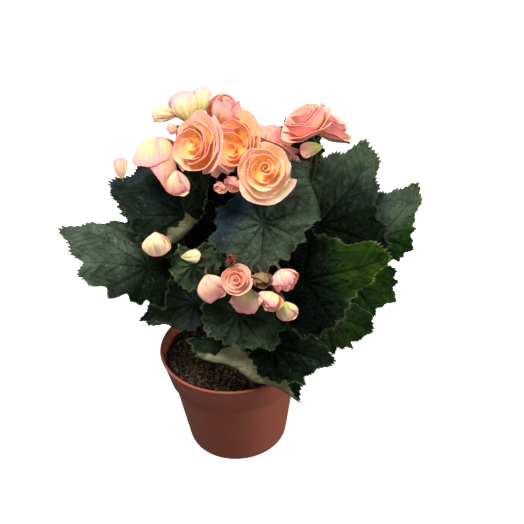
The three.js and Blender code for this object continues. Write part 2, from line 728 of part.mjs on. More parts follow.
addNode("pot", potSolid(), "pot");
addNode("soil", soilSolid(Object.values(SHOOTS).map((shoot) => shoot.root)), "soil");
for (const name of Object.keys(SHOOTS)) {
  const solids = shootPieces(name).map(([, solid]) => solid);
  addNode(`shoot_${name}`, joined(solids), "foliage");
}
for (const flower of FLOWERS) {
  const material = flower.form === "bud" ? "bud" : "petal";
  addNode(flower.name, flowerSolid(flower), material);
}

export default plant;
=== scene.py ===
import math

import bpy
import numpy as np
from mathutils import Matrix, Vector


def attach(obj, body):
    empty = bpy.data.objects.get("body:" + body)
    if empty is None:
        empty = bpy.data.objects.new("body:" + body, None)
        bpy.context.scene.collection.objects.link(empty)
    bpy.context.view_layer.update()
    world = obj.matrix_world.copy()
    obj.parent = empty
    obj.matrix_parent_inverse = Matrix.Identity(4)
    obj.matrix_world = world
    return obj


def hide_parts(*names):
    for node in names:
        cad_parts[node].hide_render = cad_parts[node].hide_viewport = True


# A potted begonia with double, rose-shaped flowers. Lengths are in millimetres until a mesh is made of them.
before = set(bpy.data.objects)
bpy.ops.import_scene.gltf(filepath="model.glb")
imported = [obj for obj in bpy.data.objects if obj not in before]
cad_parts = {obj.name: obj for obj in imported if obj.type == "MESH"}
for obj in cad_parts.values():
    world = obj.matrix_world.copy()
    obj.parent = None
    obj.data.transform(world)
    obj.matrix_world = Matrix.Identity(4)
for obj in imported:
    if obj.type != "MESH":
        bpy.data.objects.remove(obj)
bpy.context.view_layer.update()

MM = 0.001


# Camera, lights and floor

CAMERA_PLACE = (28.7, -594.7, 571.3)
CAMERA_RIGHT = (0.9992, -0.0219, -0.0336)
CAMERA_UP = (0.0401, 0.5457, 0.8370)
CAMERA_BACK = (0.0, -0.8377, 0.5461)
LENS = 58.4
SENSOR_WIDTH = 36.0
NEAREST_SEEN = 10
# Each light: name, place and side in metres, power in watts, colour. All point at LIT_PLACE, in metres.
LIGHTS = (
    ("overhead", (-0.30, -0.30, 1.45), 0.5, 30.0, (1.0, 0.985, 0.96)),
    ("window", (1.15, -0.15, 0.80), 0.7, 15.0, (0.95, 0.97, 1.0)),
    ("sky", (-1.00, 0.55, 0.80), 0.8, 9.0, (0.78, 0.88, 1.0)),
    ("front", (0.25, -1.30, 0.80), 0.5, 5.0, (1.0, 0.97, 0.94)),
)
LIT_PLACE = (0.0, 0.0, 0.19)
AMBIENT = 0.10
AMBIENT_COLOUR = (0.97, 0.985, 1.0, 1.0)
FLOOR_SIDE = 14000
FLOOR_DROP = 0.2


def add_camera():
    bpy.ops.object.camera_add()
    camera = bpy.context.object
    columns = Matrix((CAMERA_RIGHT, CAMERA_UP, CAMERA_BACK)).transposed()
    camera.matrix_world = Matrix.Translation(Vector(CAMERA_PLACE) * MM) @ columns.to_4x4()
    camera.data.lens = LENS
    camera.data.sensor_width = SENSOR_WIDTH
    camera.data.clip_start = NEAREST_SEEN * MM
    bpy.context.scene.camera = camera


def add_lights():
    for name, place, side, power, colour in LIGHTS:
        bpy.ops.object.light_add(type="AREA", location=place)
        light = bpy.context.object
        light.name = name
        light.data.size = side
        light.data.energy = power
        light.data.color = colour
        light.rotation_euler = (Vector(LIT_PLACE) - Vector(place)).to_track_quat("-Z", "Y").to_euler()
    world = bpy.data.worlds.new("studio")
    world.use_nodes = True
    background = world.node_tree.nodes["Background"]
    background.inputs["Color"].default_value = AMBIENT_COLOUR
    background.inputs["Strength"].default_value = AMBIENT
    bpy.context.scene.world = world
    bpy.context.scene.view_settings.view_transform = "Standard"


def make_floor():
    """A white floor that takes shadows and gives the plant no light of its own."""
    bpy.ops.object.select_all(action="DESELECT")
    bpy.ops.mesh.primitive_plane_add(size=FLOOR_SIDE * MM, location=(0, 0, -FLOOR_DROP * MM))
    floor = bpy.context.object
    floor.name = "studio_floor"
    floor.data.materials.append(floor_finish())
    floor.visible_diffuse = False
    floor.visible_glossy = False


# Materials

def paint(red, green, blue):
    """A colour as it is seen on a screen, 0 to 255, in the light-linear numbers that a shader takes."""
    return (*(linear_share(value / 255) for value in (red, green, blue)), 1.0)


def linear_share(share):
    """One colour channel of a screen, 0 to 1, as a share of light."""
    return share / 12.92 if share <= 0.04045 else ((share + 0.055) / 1.055) ** 2.4


class Link:
    """An output socket of a material's nodes, which adds and multiplies like a number."""

    def __init__(self, finish, socket):
        self.finish = finish
        self.socket = socket

    def maths(self, operation, *others):
        return self.finish.node("ShaderNodeMath", {"operation": operation}, dict(enumerate((self, *others))))

    def __add__(self, other):
        return self.maths("ADD", other)

    __radd__ = __add__

    def __mul__(self, other):
        return self.maths("MULTIPLY", other)

    __rmul__ = __mul__

    def __sub__(self, other):
        return self.maths("SUBTRACT", other)

    def __rsub__(self, other):
        return self.finish.node("ShaderNodeMath", {"operation": "SUBTRACT"}, {0: other, 1: self})

    def __truediv__(self, other):
        return self.maths("DIVIDE", other)

    def __pow__(self, other):
        return self.maths("POWER", other)

    def __abs__(self):
        return self.maths("ABSOLUTE")

    def at_most(self, limit):
        return self.maths("MINIMUM", limit)


class Finish:
    """A material under construction, with its nodes and its shader."""

    def __init__(self, name, **constants):
        self.material = bpy.data.materials.new(name)
        self.material.use_nodes = True
        self.tree = self.material.node_tree
        self.shader = self.tree.nodes["Principled BSDF"]
        for key, value in constants.items():
            self.shader.inputs[key.replace("_", " ")].default_value = value

    def node(self, kind, settings=None, inputs=None, output=0):
        made = self.tree.nodes.new(kind)
        for key, value in (settings or {}).items():
            setattr(made, key, value)
        for key, value in (inputs or {}).items():
            self.feed(made.inputs[key], value)
        return Link(self, made.outputs[output])

    def feed(self, socket, value):
        if isinstance(value, Link):
            self.tree.links.new(value.socket, socket)
        else:
            socket.default_value = value

    def surface(self, **values):
        for key, value in values.items():
            self.feed(self.shader.inputs[key.replace("_", " ")], value)
        return self.material

    def attribute(self, name):
        """The three numbers of a piece's own attribute."""
        return self.parts(self.node("ShaderNodeAttribute", {"attribute_name": name}, output="Vector"))

    def parts(self, vector):
        split = self.node("ShaderNodeSeparateXYZ", inputs={0: vector}).socket.node
        return [Link(self, output) for output in split.outputs]

    def place(self):
        """Where on the object a point lies, in metres."""
        return self.node("ShaderNodeTexCoord", output="Object")

    def vector(self, x, y, z):
        return self.node("ShaderNodeCombineXYZ", inputs={0: x, 1: y, 2: z})

    def step(self, value, low, high):
        """0 below low and 1 above high, with a soft change between. The other way round if high is less."""
        ends = {0: value, 1: low, 2: high, 3: 0.0, 4: 1.0}
        if high < low:
            ends = {0: value, 1: high, 2: low, 3: 1.0, 4: 0.0}
        return self.node("ShaderNodeMapRange", {"interpolation_type": "SMOOTHSTEP"}, ends)

    def noise(self, vector, scale, detail=2.0, roughness=0.5):
        inputs = {"Vector": vector, "Scale": scale, "Detail": detail, "Roughness": roughness}
        return self.node("ShaderNodeTexNoise", inputs=inputs)

    def cell_edges(self, vector, scale, randomness=1.0):
        """How far a place is from the nearest edge between irregular cells."""
        inputs = {"Vector": vector, "Scale": scale, "Randomness": randomness}
        return self.node("ShaderNodeTexVoronoi", {"feature": "DISTANCE_TO_EDGE"}, inputs)

    def mix(self, factor, first, second):
        """The first colour, and the second as far as the factor says."""
        return self.node("ShaderNodeMix", {"data_type": "RGBA"}, {0: factor, 6: first, 7: second}, output=2)

    def bump(self, height, distance, strength=1.0, under=None):
        inputs = {"Height": height, "Distance": distance, "Strength": strength}
        if under is not None:
            inputs["Normal"] = under
        return self.node("ShaderNodeBump", inputs=inputs)


def floor_finish():
    """White, and lit a little from within so that it stays white away from the lights."""
    finish = Finish("studio_floor", Roughness=0.9, Specular_IOR_Level=0.1, Emission_Strength=0.72)
    return finish.surface(Base_Color=(0.8, 0.8, 0.8, 1.0), Emission_Color=(1.0, 1.0, 1.0, 1.0))


def pot_finish():
    """Satin terracotta-coloured plastic, paler in specks, with painted shade on its lip, and fine mould
    grain.
    """
    finish = Finish("terracotta_plastic", Specular_IOR_Level=0.4, Coat_Weight=0.06, Coat_Roughness=0.3)
    place = finish.place()
    clouds = finish.noise(place, 22.0, 3.0, 0.55)
    grain = finish.noise(place, 900.0, 2.0, 0.6)
    specks = finish.step(finish.noise(place, 420.0, 1.0, 0.5), 0.66, 0.74)
    brown = finish.mix(clouds, paint(170, 88, 65), paint(184, 102, 79))
    colour = finish.mix(specks * 0.12, brown, paint(186, 118, 94))
    # Painted shade: the lip's top is darkened so that the overhead light does not show it bright.
    lip = finish.step(finish.parts(place)[2], LIP_SHADE_FROM * MM, LIP_SHADE_TO * MM)
    colour = finish.mix(lip * 0.6, colour, paint(112, 54, 40))
    roughness = 0.36 + 0.12 * clouds
    return finish.surface(Base_Color=colour, Roughness=roughness, Normal=finish.bump(grain, 0.00012, 0.5))


def soil_finish():
    """Moist dark peat, browner and paler on its crumbs."""
    finish = Finish("peat", Roughness=0.95, Specular_IOR_Level=0.2)
    place = finish.place()
    lumps = finish.noise(place, 170.0, 4.0, 0.65)
    fine = finish.noise(place, 900.0, 3.0, 0.7)
    dark = finish.mix(lumps, paint(8, 6, 4), paint(38, 28, 20))
    colour = finish.mix(finish.step(fine, 0.6, 0.8) * 0.6, dark, paint(112, 88, 62))
    return finish.surface(Base_Color=colour, Normal=finish.bump(fine, 0.0012, 0.8))


def crumb_finish(name, first, second):
    """One kind of bit that lies in the peat, with some change of colour from bit to bit."""
    finish = Finish(name, Roughness=0.9, Specular_IOR_Level=0.2)
    draw = finish.noise(finish.place(), 330.0, 2.0, 0.6)
    return finish.surface(Base_Color=finish.mix(finish.step(draw, 0.35, 0.65), first, second))


def vein_pattern(finish):
    """The blade's flat coordinates, the share of the way out to its rim, masks of its main veins, side veins
    and fine net, and how high its skin stands between the veins."""
    x, y, share = finish.attribute("blade_place")
    angle = y.maths("ARCTAN2", x)
    distance = (x * x + y * y) ** 0.5
    turn = ((angle / VEIN_STEP + 0.5).maths("FRACT") - 0.5) * VEIN_STEP
    along = distance * turn.maths("COSINE")
    aside = abs(distance * turn.maths("SINE"))
    main = finish.step(aside, 0.4, 0.05) + finish.step(aside, 1.4, 0.2) * 0.25
    main = main * finish.step(share, 1.0, 0.45) * (0.3 + 0.7 * finish.step(angle.maths("COSINE"), -0.5, 0.5))
    flat = finish.vector(x, y, 0.0)
    wobble = finish.noise(flat, 0.05, 1.0) * 5.0
    branch = ((along - aside * SIDE_VEIN_LEAN + wobble) / SIDE_VEIN_SPACING).maths("FRACT")
    side = finish.step(abs(branch - 0.5) * SIDE_VEIN_SPACING, 0.6, 0.05)
    panels = (0.5 + 0.5 * (branch * 2 * math.pi).maths("COSINE")) * finish.step(aside, 0.3, 4.0)
    net = finish.step(finish.cell_edges(flat, 0.42), 0.16, 0.0)
    pillow = 0.35 * panels + 0.65 * finish.step(finish.cell_edges(flat, 0.17, 0.9), 0.0, 0.42)
    return flat, share, main, side, net, pillow


def leaf_top_finish():
    """Dark green and slightly glossy, with sunken veins. Painted light on a blade says where painted
    backlight makes it yellow-green, where a pale painted sheen lies on it, and where painted deep shade
    darkens it, navy as a painted sky reflection in that shade where sheen lies too."""
    finish = Finish("leaf_top", Specular_IOR_Level=0.02, Coat_Roughness=0.28)
    flat, share, main, side, net, pillow = vein_pattern(finish)
    glow, grey, dark = finish.attribute("blade_painted_light")
    mottle = finish.noise(flat, 0.07, 3.0, 0.6)
    patches = finish.step(finish.noise(flat, 0.05, 1.0), 0.35, 0.65)
    # Painted backlight and painted sheen are patchy, and stronger on the raised panels between the veins.
    glow = glow * (0.3 + 0.8 * patches) * (0.85 + 0.25 * pillow)
    grey = grey * (0.5 + 0.5 * patches) * (0.85 + 0.2 * pillow)
    green = finish.mix(mottle, paint(5, 12, 6), paint(18, 32, 15))
    # Painted sheen: the pale green of sky light reflected off the leaf's hairs, painted into its colour.
    green = finish.mix(grey, green, finish.mix(mottle, paint(62, 76, 62), paint(104, 118, 100)))
    # Painted backlight: the yellow-green of light shining through the blade.
    green = finish.mix(glow, green, finish.mix(mottle, paint(8, 24, 0), paint(50, 86, 3)))
    # Painted deep shade: near-black, and navy as a painted sky reflection where the blade also has painted
    # sheen.
    shade = finish.mix(finish.step(grey, 0.1, 0.3), paint(2, 4, 3), paint(30, 44, 60))
    green = finish.mix(dark, green, shade)
    paler = finish.mix(grey, paint(40, 56, 34), paint(112, 126, 102))
    green = finish.mix(net * (0.12 + 0.2 * grey) * (1.0 - 0.8 * dark), green, paler)
    # Vein lines: their own darker colour, deepened by painted shade in their sunken creases, and paler under
    # painted sheen.
    vein_crease_shade = finish.mix(glow, paint(3, 7, 5), paint(18, 34, 8))
    vein = finish.mix(grey, vein_crease_shade, paint(96, 112, 92))
    green = finish.mix((main * 0.85 + side * 0.5).at_most(0.85), green, vein)
    rim = finish.step(share, 0.95, 1.0)
    colour = finish.mix(rim * (0.32 + 0.3 * glow) * (1.0 - 0.8 * dark), green, paint(112, 126, 70))
    height = 1.0 + pillow - (main * 0.9 + side * 0.4 + net * 0.2)
    grain = finish.bump(finish.noise(flat, 0.9, 3.0, 0.65), 0.0004, 0.8)
    normal = finish.bump(height, 0.0018, 1.0, grain)
    gloss = finish.step(finish.noise(flat, 0.22, 3.0, 0.7), 0.48, 0.72) * 0.17
    gloss = gloss * (1.0 - dark) * (1.0 - 0.8 * glow)
    return finish.surface(Base_Color=colour, Roughness=0.34 + 0.2 * mottle, Coat_Weight=gloss, Normal=normal)


def leaf_under_finish():
    """The pale olive underside, with raised veins, yellow-green under painted backlight and darker under
    painted shade.
    """
    finish = Finish("leaf_under", Specular_IOR_Level=0.1)
    flat, _, main, side, net, pillow = vein_pattern(finish)
    glow, _, dark = finish.attribute("blade_painted_light")
    mottle = finish.noise(flat, 0.07, 2.0, 0.6)
    green = finish.mix(mottle, paint(102, 106, 70), paint(146, 142, 112))
    # Painted backlight and painted shade on the underside.
    green = finish.mix(glow, green, paint(100, 122, 44))
    green = finish.mix(dark * 0.8, green, paint(34, 38, 18))
    veins = (main * 0.6 + side * 0.4 + net * 0.15).at_most(0.8)
    green = finish.mix(veins, green, paint(146, 146, 110))
    height = main * 0.9 + side * 0.5 + net * 0.2 - pillow * 0.7
    normal = finish.bump(height, 0.0008, 0.9)
    return finish.surface(Base_Color=green, Roughness=0.6 + 0.1 * mottle, Normal=normal)


def stem_finish():
    """Green stems with brown streaks, painted darker than their own colours as shade, since they stand in the
    plant's shadow.
    """
    finish = Finish("stem_skin", Specular_IOR_Level=0.4, Roughness=0.45)
    place = finish.place()
    streaks = finish.noise(place, 60.0, 2.0, 0.5)
    # Both stem colours are darkened as painted shade.
    colour = finish.mix(finish.step(streaks, 0.35, 0.7), paint(46, 54, 28), paint(76, 50, 36))
    grain = finish.noise(place, 700.0, 1.0)
    return finish.surface(Base_Color=colour, Normal=finish.bump(grain, 0.0002, 0.5))


def hair_finish():
    """Pale green hairs, some paler than others."""
    finish = Finish("pale_hair", Roughness=0.5, Specular_IOR_Level=0.3)
    tint = finish.noise(finish.place(), 90.0)
    return finish.surface(Base_Color=finish.mix(tint, paint(104, 114, 78), paint(168, 174, 138)))


def petal_finish(name, inside):
    """A soft satin petal that light passes through, lit faintly from within by painted emission of its own
    colour. Its tone says how orange, pink and green it is.
    """
    # Emission_Strength is painted light: the petal faintly emits its own colour.
    finish = Finish(
        name, Specular_IOR_Level=0.25, Subsurface_Weight=0.25, Subsurface_Scale=0.003,
        Subsurface_Radius=(1.0, 0.5, 0.35), Emission_Strength=0.04,
    )
    across, along, depth = finish.attribute("petal_place")
    orange, pink, green = finish.attribute("petal_tone")
    cloud = finish.noise(finish.vector(across * 1.3, along * 1.2, depth * 7.0), 1.3, 3.0, 0.55)
    streak = finish.noise(finish.vector(across * 13.0, along * 1.1, depth * 7.0), 1.0, 2.0, 0.5)
    cream = finish.mix(cloud, paint(226, 214, 158), paint(232, 196, 148))
    warm = finish.mix(cloud, paint(248, 186, 106), paint(244, 156, 98))
    salmon = finish.mix(cloud, paint(246, 176, 150), paint(238, 142, 132))
    body = finish.mix(finish.step(pink, 0.9, 1.7) * 0.8, cream, salmon)
    body = finish.mix(orange, body, warm)
    rosy = finish.mix(cloud, paint(247, 178, 166), paint(240, 142, 150))
    side_edge = finish.step(abs(across), 0.72, 1.02)
    if inside:
        golden = finish.mix(finish.step(cloud, 0.35, 0.65), paint(254, 198, 84), paint(247, 154, 70))
        deep = finish.mix(orange, paint(228, 100, 88), golden)
        body = finish.mix(finish.step(along, 0.85, 0.3) * 0.9, body, deep)
        lip = finish.mix(pink, paint(250, 210, 170), paint(246, 174, 160))
        edge = (finish.step(along, 0.74, 1.0) + side_edge * 0.4).at_most(1.0)
        colour = finish.mix(edge * 0.8, body, lip)
    else:
        body = finish.mix(0.2, body, paint(240, 190, 162))
        edge = finish.step(along, 0.55, 1.0) * 0.7 + finish.step(abs(across), 0.45, 1.0) * 0.7 + 0.1
        colour = finish.mix((edge * pink).at_most(1.0), body, rosy)
        margin = finish.step(abs(across), 0.84, 1.0) + finish.step(along, 0.88, 1.0)
        colour = finish.mix((margin * pink * 0.5).at_most(0.8), colour, paint(232, 112, 126))
    leafy = finish.mix(cloud, paint(160, 172, 84), paint(200, 204, 118))
    colour = finish.mix((green * finish.step(along, 0.75, 0.15)).at_most(1.0), colour, leafy)
    colour = finish.mix(finish.step(streak, 0.5, 0.72) * 0.3, colour, paint(228, 132, 104))
    ripple = finish.bump(streak, 0.0006 if inside else 0.0013, 0.8)
    roughness = 0.48 + 0.14 * cloud
    # Emission in the petal's own colour is painted light.
    return finish.surface(Base_Color=colour, Emission_Color=colour, Roughness=roughness, Normal=ripple)


def faded_finish():
    """Dry brown petals, or dull red ones where their tone is pink."""
    finish = Finish("faded_petal", Roughness=0.8, Specular_IOR_Level=0.2)
    across, along, depth = finish.attribute("petal_place")
    cloud = finish.noise(finish.vector(across * 3.0, along * 3.0, depth), 1.4, 3.0)
    _, pink, _ = finish.attribute("petal_tone")
    brown = finish.mix(cloud, paint(92, 60, 40), paint(150, 120, 78))
    return finish.surface(Base_Color=finish.mix(pink, brown, paint(122, 56, 46)))


# Pieces and their meshes

def select_only(piece):
    bpy.ops.object.select_all(action="DESELECT")
    piece.select_set(True)
    bpy.context.view_layer.objects.active = piece


def apply_modifier(piece, kind, **settings):
    select_only(piece)
    modifier = piece.modifiers.new(kind.lower(), kind)
    for key, value in settings.items():
        setattr(modifier, key, value)
    bpy.ops.object.modifier_apply(modifier=modifier.name)


def hand_in(piece, replaced=()):
    """The piece rides on the part's one body and stands in for the solids that it replaces."""
    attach(piece, "root")
    if replaced:
        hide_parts(*replaced)


class Skin:
    """Points and faces gathered for one mesh, with a material number for each face and two triples for each
    point: its place on its own blade or petal, and its tone."""

    def __init__(self, place_name, tone_name):
        self.names = (place_name, tone_name)
        self.points = []
        self.triples = ([], [])
        self.faces = []
        self.kinds = []
        self.count = 0

    def add(self, points, faces, kind, place=None, tone=None):
        for face in faces:
            self.faces.append([index + self.count for index in face])
        self.kinds += [kind] * len(faces)
        self.points.append(points)
        self.count += len(points)
        for store, value in zip(self.triples, (place, tone)):
            store.append(np.zeros((len(points), 3)) if value is None else value)

    def piece(self, name, materials):
        mesh = bpy.data.meshes.new(name)
        mesh.from_pydata((np.concatenate(self.points) * MM).tolist(), [], self.faces)
        for attribute_name, store in zip(self.names, self.triples):
            attribute = mesh.attributes.new(attribute_name, "FLOAT_VECTOR", "POINT")
            attribute.data.foreach_set("vector", np.concatenate(store).astype(np.float32).ravel())
        for material in materials:
            mesh.materials.append(material)
        mesh.polygons.foreach_set("material_index", self.kinds)
        mesh.update()
        piece = bpy.data.objects.new(name, mesh)
        bpy.context.scene.collection.objects.link(piece)
        return piece


def grid_faces(rows, columns, closed):
    """Quads of a grid of points, row by row. A closed grid joins its last column to its first."""
    faces = []
    for i in range(rows - 1):
        for j in range(columns if closed else columns - 1):
            beside = (j + 1) % columns
            near, far = i * columns, (i + 1) * columns
            faces.append((near + j, near + beside, far + beside, far + j))
    return faces


def unit(vector):
    vector = np.asarray(vector, float)
    return vector / np.linalg.norm(vector)


TUBE_SEAM = (0.3, 0.9, 0.2)


def tube(points, radii, sides):
    """A round tube along points, closed at both ends."""
    points = np.asarray(points, float)
    headings = np.gradient(points, axis=0)
    headings /= np.linalg.norm(headings, axis=1)[:, None]
    side = np.cross(headings[0], TUBE_SEAM)
    turns = np.arange(sides) / sides * 2 * math.pi
    rings = []
    for point, heading, radius in zip(points, headings, radii):
        side = unit(side - heading * side.dot(heading))
        other = np.cross(heading, side)
        rings.append(point + radius * (np.outer(np.cos(turns), side) + np.outer(np.sin(turns), other)))
    faces = grid_faces(len(points), sides, True)
    faces.append(tuple(range(sides))[::-1])
    faces.append(tuple(range((len(points) - 1) * sides, len(points) * sides)))
    return np.concatenate(rings), faces


def bezier(points, steps):
    """A curve from the first of four points to the last, drawn towards the two between."""
    start, leave, arrive, end = (np.asarray(point, float) for point in points)
    t = np.linspace(0, 1, steps)[:, None]
    return (1 - t) ** 3 * start + 3 * t * (1 - t) ** 2 * leave + 3 * t * t * (1 - t) * arrive + t ** 3 * end


# Pot and soil: the same sizes as the solids

POT_HEIGHT = 98
RIM_RADIUS = 65
LIP_HEIGHT = 2.4
BAND_HEIGHT = 28
BAND_STEP = 3
BASE_RADIUS = 45.3
WALL = 1.6
FLOOR = 2.6
DRAIN_HOLES = 6
DRAIN_HOLE_RADIUS = 4
DRAIN_RING_RADIUS = 33
SOIL_LEVEL = 90
SOIL_EDGE = 58.4
ROOT_DEPTH = 26
BAND_BOTTOM = POT_HEIGHT - BAND_HEIGHT
BODY_TOP_RADIUS = 55.4
BAND_LOW_RADIUS = BODY_TOP_RADIUS + BAND_STEP
BAND_HIGH_RADIUS = RIM_RADIUS - 1.2
# Heights between which the pot's lip takes its painted shade
LIP_SHADE_FROM = POT_HEIGHT - 2.5
LIP_SHADE_TO = POT_HEIGHT - 0.5
FOOT_HOLLOW = 1.4
POT_SIDES = 144
DRILL_SIDES = 32
POT_SHARP_ANGLE = 38


def make_pot():
    """A disc drawn up along the outside of the pot, over its lip and down its inside to the floor."""
    outline = [
        (BASE_RADIUS - 2.4, FOOT_HOLLOW),
        (BASE_RADIUS - 1.8, 0),
        (BASE_RADIUS - 0.6, 0.3),
        (BASE_RADIUS, 1.8),
        (BODY_TOP_RADIUS - 0.2, BAND_BOTTOM - 2.2),
        (BODY_TOP_RADIUS + 0.2, BAND_BOTTOM - 1.2),
        (BAND_LOW_RADIUS - 0.6, BAND_BOTTOM - 0.2),
        (BAND_LOW_RADIUS, BAND_BOTTOM + 0.8),
        (BAND_HIGH_RADIUS, POT_HEIGHT - LIP_HEIGHT - 0.8),
        (BAND_HIGH_RADIUS + 0.2, POT_HEIGHT - LIP_HEIGHT),
        (RIM_RADIUS - 0.3, POT_HEIGHT - LIP_HEIGHT + 0.5),
        (RIM_RADIUS, POT_HEIGHT - LIP_HEIGHT + 1.3),
        (RIM_RADIUS - 0.4, POT_HEIGHT - 0.3),
        (RIM_RADIUS - 1.2, POT_HEIGHT),
        (RIM_RADIUS - 2.2, POT_HEIGHT - 0.3),
        (BAND_HIGH_RADIUS - WALL, POT_HEIGHT - LIP_HEIGHT - 0.4),
        (BAND_LOW_RADIUS - WALL, BAND_BOTTOM + 3),
        (BODY_TOP_RADIUS - WALL, BAND_BOTTOM - 1.4),
        (BASE_RADIUS - WALL, FLOOR + 1),
        (BASE_RADIUS - WALL - 1, FLOOR),
    ]
    radius = 0.55 * BASE_RADIUS
    height = FOOT_HOLLOW
    bpy.ops.object.select_all(action="DESELECT")
    bpy.ops.mesh.primitive_circle_add(
        vertices=POT_SIDES, radius=radius * MM, fill_type="NGON", location=(0, 0, height * MM)
    )
    pot = bpy.context.object
    pot.name = "pot_moulding"
    bpy.ops.object.transform_apply()
    bpy.ops.object.mode_set(mode="EDIT")
    bpy.ops.mesh.select_all(action="SELECT")
    for next_radius, next_height in outline:
        rise = (next_height - height) * MM
        widening = next_radius / radius
        bpy.ops.mesh.extrude_region_move(TRANSFORM_OT_translate={"value": (0, 0, rise)})
        bpy.ops.transform.resize(value=(widening, widening, 1))
        radius, height = next_radius, next_height
    bpy.ops.mesh.select_all(action="SELECT")
    bpy.ops.mesh.normals_make_consistent(inside=False)
    bpy.ops.object.mode_set(mode="OBJECT")
    for i in range(DRAIN_HOLES):
        turn = i / DRAIN_HOLES * 2 * math.pi
        place = (DRAIN_RING_RADIUS * math.cos(turn) * MM, DRAIN_RING_RADIUS * math.sin(turn) * MM, 0)
        bpy.ops.mesh.primitive_cylinder_add(
            vertices=DRILL_SIDES, radius=DRAIN_HOLE_RADIUS * MM, depth=6 * FLOOR * MM, location=place
        )
        drill = bpy.context.object
        bpy.ops.object.transform_apply()
        apply_modifier(pot, "BOOLEAN", operation="DIFFERENCE", object=drill, solver="EXACT")
        bpy.data.objects.remove(drill)
    select_only(pot)
    bpy.ops.object.shade_smooth_by_angle(angle=math.radians(POT_SHARP_ANGLE))
    pot.data.materials.append(pot_finish())
    hand_in(pot, ["pot"])


SOIL_SEED = 5
LITTER_SEED = 17
SOIL_CELLS = 130
SOIL_RISE = 1.5
SOIL_HEAP = 2.5
SOIL_ROUGHNESS = 0.22
# Waves of lumps: how wide and how high
SOIL_BUMPS = ((11, 1.5), (5.2, 1.0), (2.4, 0.7))
# Steps of the soil's side: how far down, and how much narrower
SOIL_SIDE = ((3, 1.0), (16, 0.93), (60, 0.78))
CRUMBS = 2200
FIBRES = 190
CHIPS = 150
MOSS_MIDDLE = (-40, -14)
MOSS_REACH = 17
MOSS_BLADES = 420
CRUMB, FIBRE, CHIP, MOSS = range(4)


def soil_height(x, y):
    """Lumpy peat, a little higher in the middle."""
    height = SOIL_LEVEL + SOIL_RISE - SOIL_HEAP * np.hypot(x, y) / SOIL_EDGE
    for i, (width, rise) in enumerate(SOIL_BUMPS):
        turn = 0.7 + 1.9 * i
        along = (x * math.cos(turn) + y * math.sin(turn)) / width
        aside = (y * math.cos(turn) - x * math.sin(turn)) / width
        lumps = np.sin(along + 1.4 * np.sin(aside * 0.8)), np.sin(aside + 1.1 * np.sin(along * 0.9))
        height = height + rise * lumps[0] * lumps[1]
    return height


def make_soil():
    """A grid rounded to a disc and heaped. Its edge is drawn down along the pot's wall and closed below."""
    bpy.ops.object.select_all(action="DESELECT")
    bpy.ops.mesh.primitive_grid_add(x_subdivisions=SOIL_CELLS, y_subdivisions=SOIL_CELLS, size=2)
    soil = bpy.context.object
    soil.name = "peat_bed"
    places = np.empty(len(soil.data.vertices) * 3)
    soil.data.vertices.foreach_get("co", places)
    places = places.reshape(-1, 3)
    square = places[:, :2].copy()
    places[:, 0] = square[:, 0] * np.sqrt(1 - square[:, 1] ** 2 / 2) * SOIL_EDGE
    places[:, 1] = square[:, 1] * np.sqrt(1 - square[:, 0] ** 2 / 2) * SOIL_EDGE
    draw = np.random.default_rng(SOIL_SEED)
    places[:, 2] = soil_height(places[:, 0], places[:, 1]) + draw.normal(0, SOIL_ROUGHNESS, len(places))
    soil.data.vertices.foreach_set("co", (places * MM).ravel())
    bpy.ops.object.mode_set(mode="EDIT")
    bpy.ops.mesh.select_all(action="SELECT")
    bpy.ops.mesh.region_to_loop()
    for drop, narrow in SOIL_SIDE:
        bpy.ops.mesh.extrude_edges_move(TRANSFORM_OT_translate={"value": (0, 0, -drop * MM)})
        bpy.ops.transform.resize(value=(narrow, narrow, 1))
    bpy.ops.mesh.edge_face_add()
    bpy.ops.mesh.select_all(action="SELECT")
    bpy.ops.mesh.normals_make_consistent(inside=False)
    bpy.ops.object.mode_set(mode="OBJECT")
    bpy.ops.object.shade_smooth()
    soil.data.materials.append(soil_finish())
    hand_in(soil, ["soil"])


def scattered(draw, count, reach):
    """Places on the soil, spread evenly out to a reach."""
    radius = reach * np.sqrt(draw.random(count))
    turn = draw.random(count) * 2 * math.pi
    return radius * np.cos(turn), radius * np.sin(turn)


def turned(draw, points):
    """Points turned about their middle by a drawn amount."""
    spin = Matrix.Rotation(draw.random() * 2 * math.pi, 3, Vector(unit(draw.normal(size=3))))
    return points @ np.array(spin)


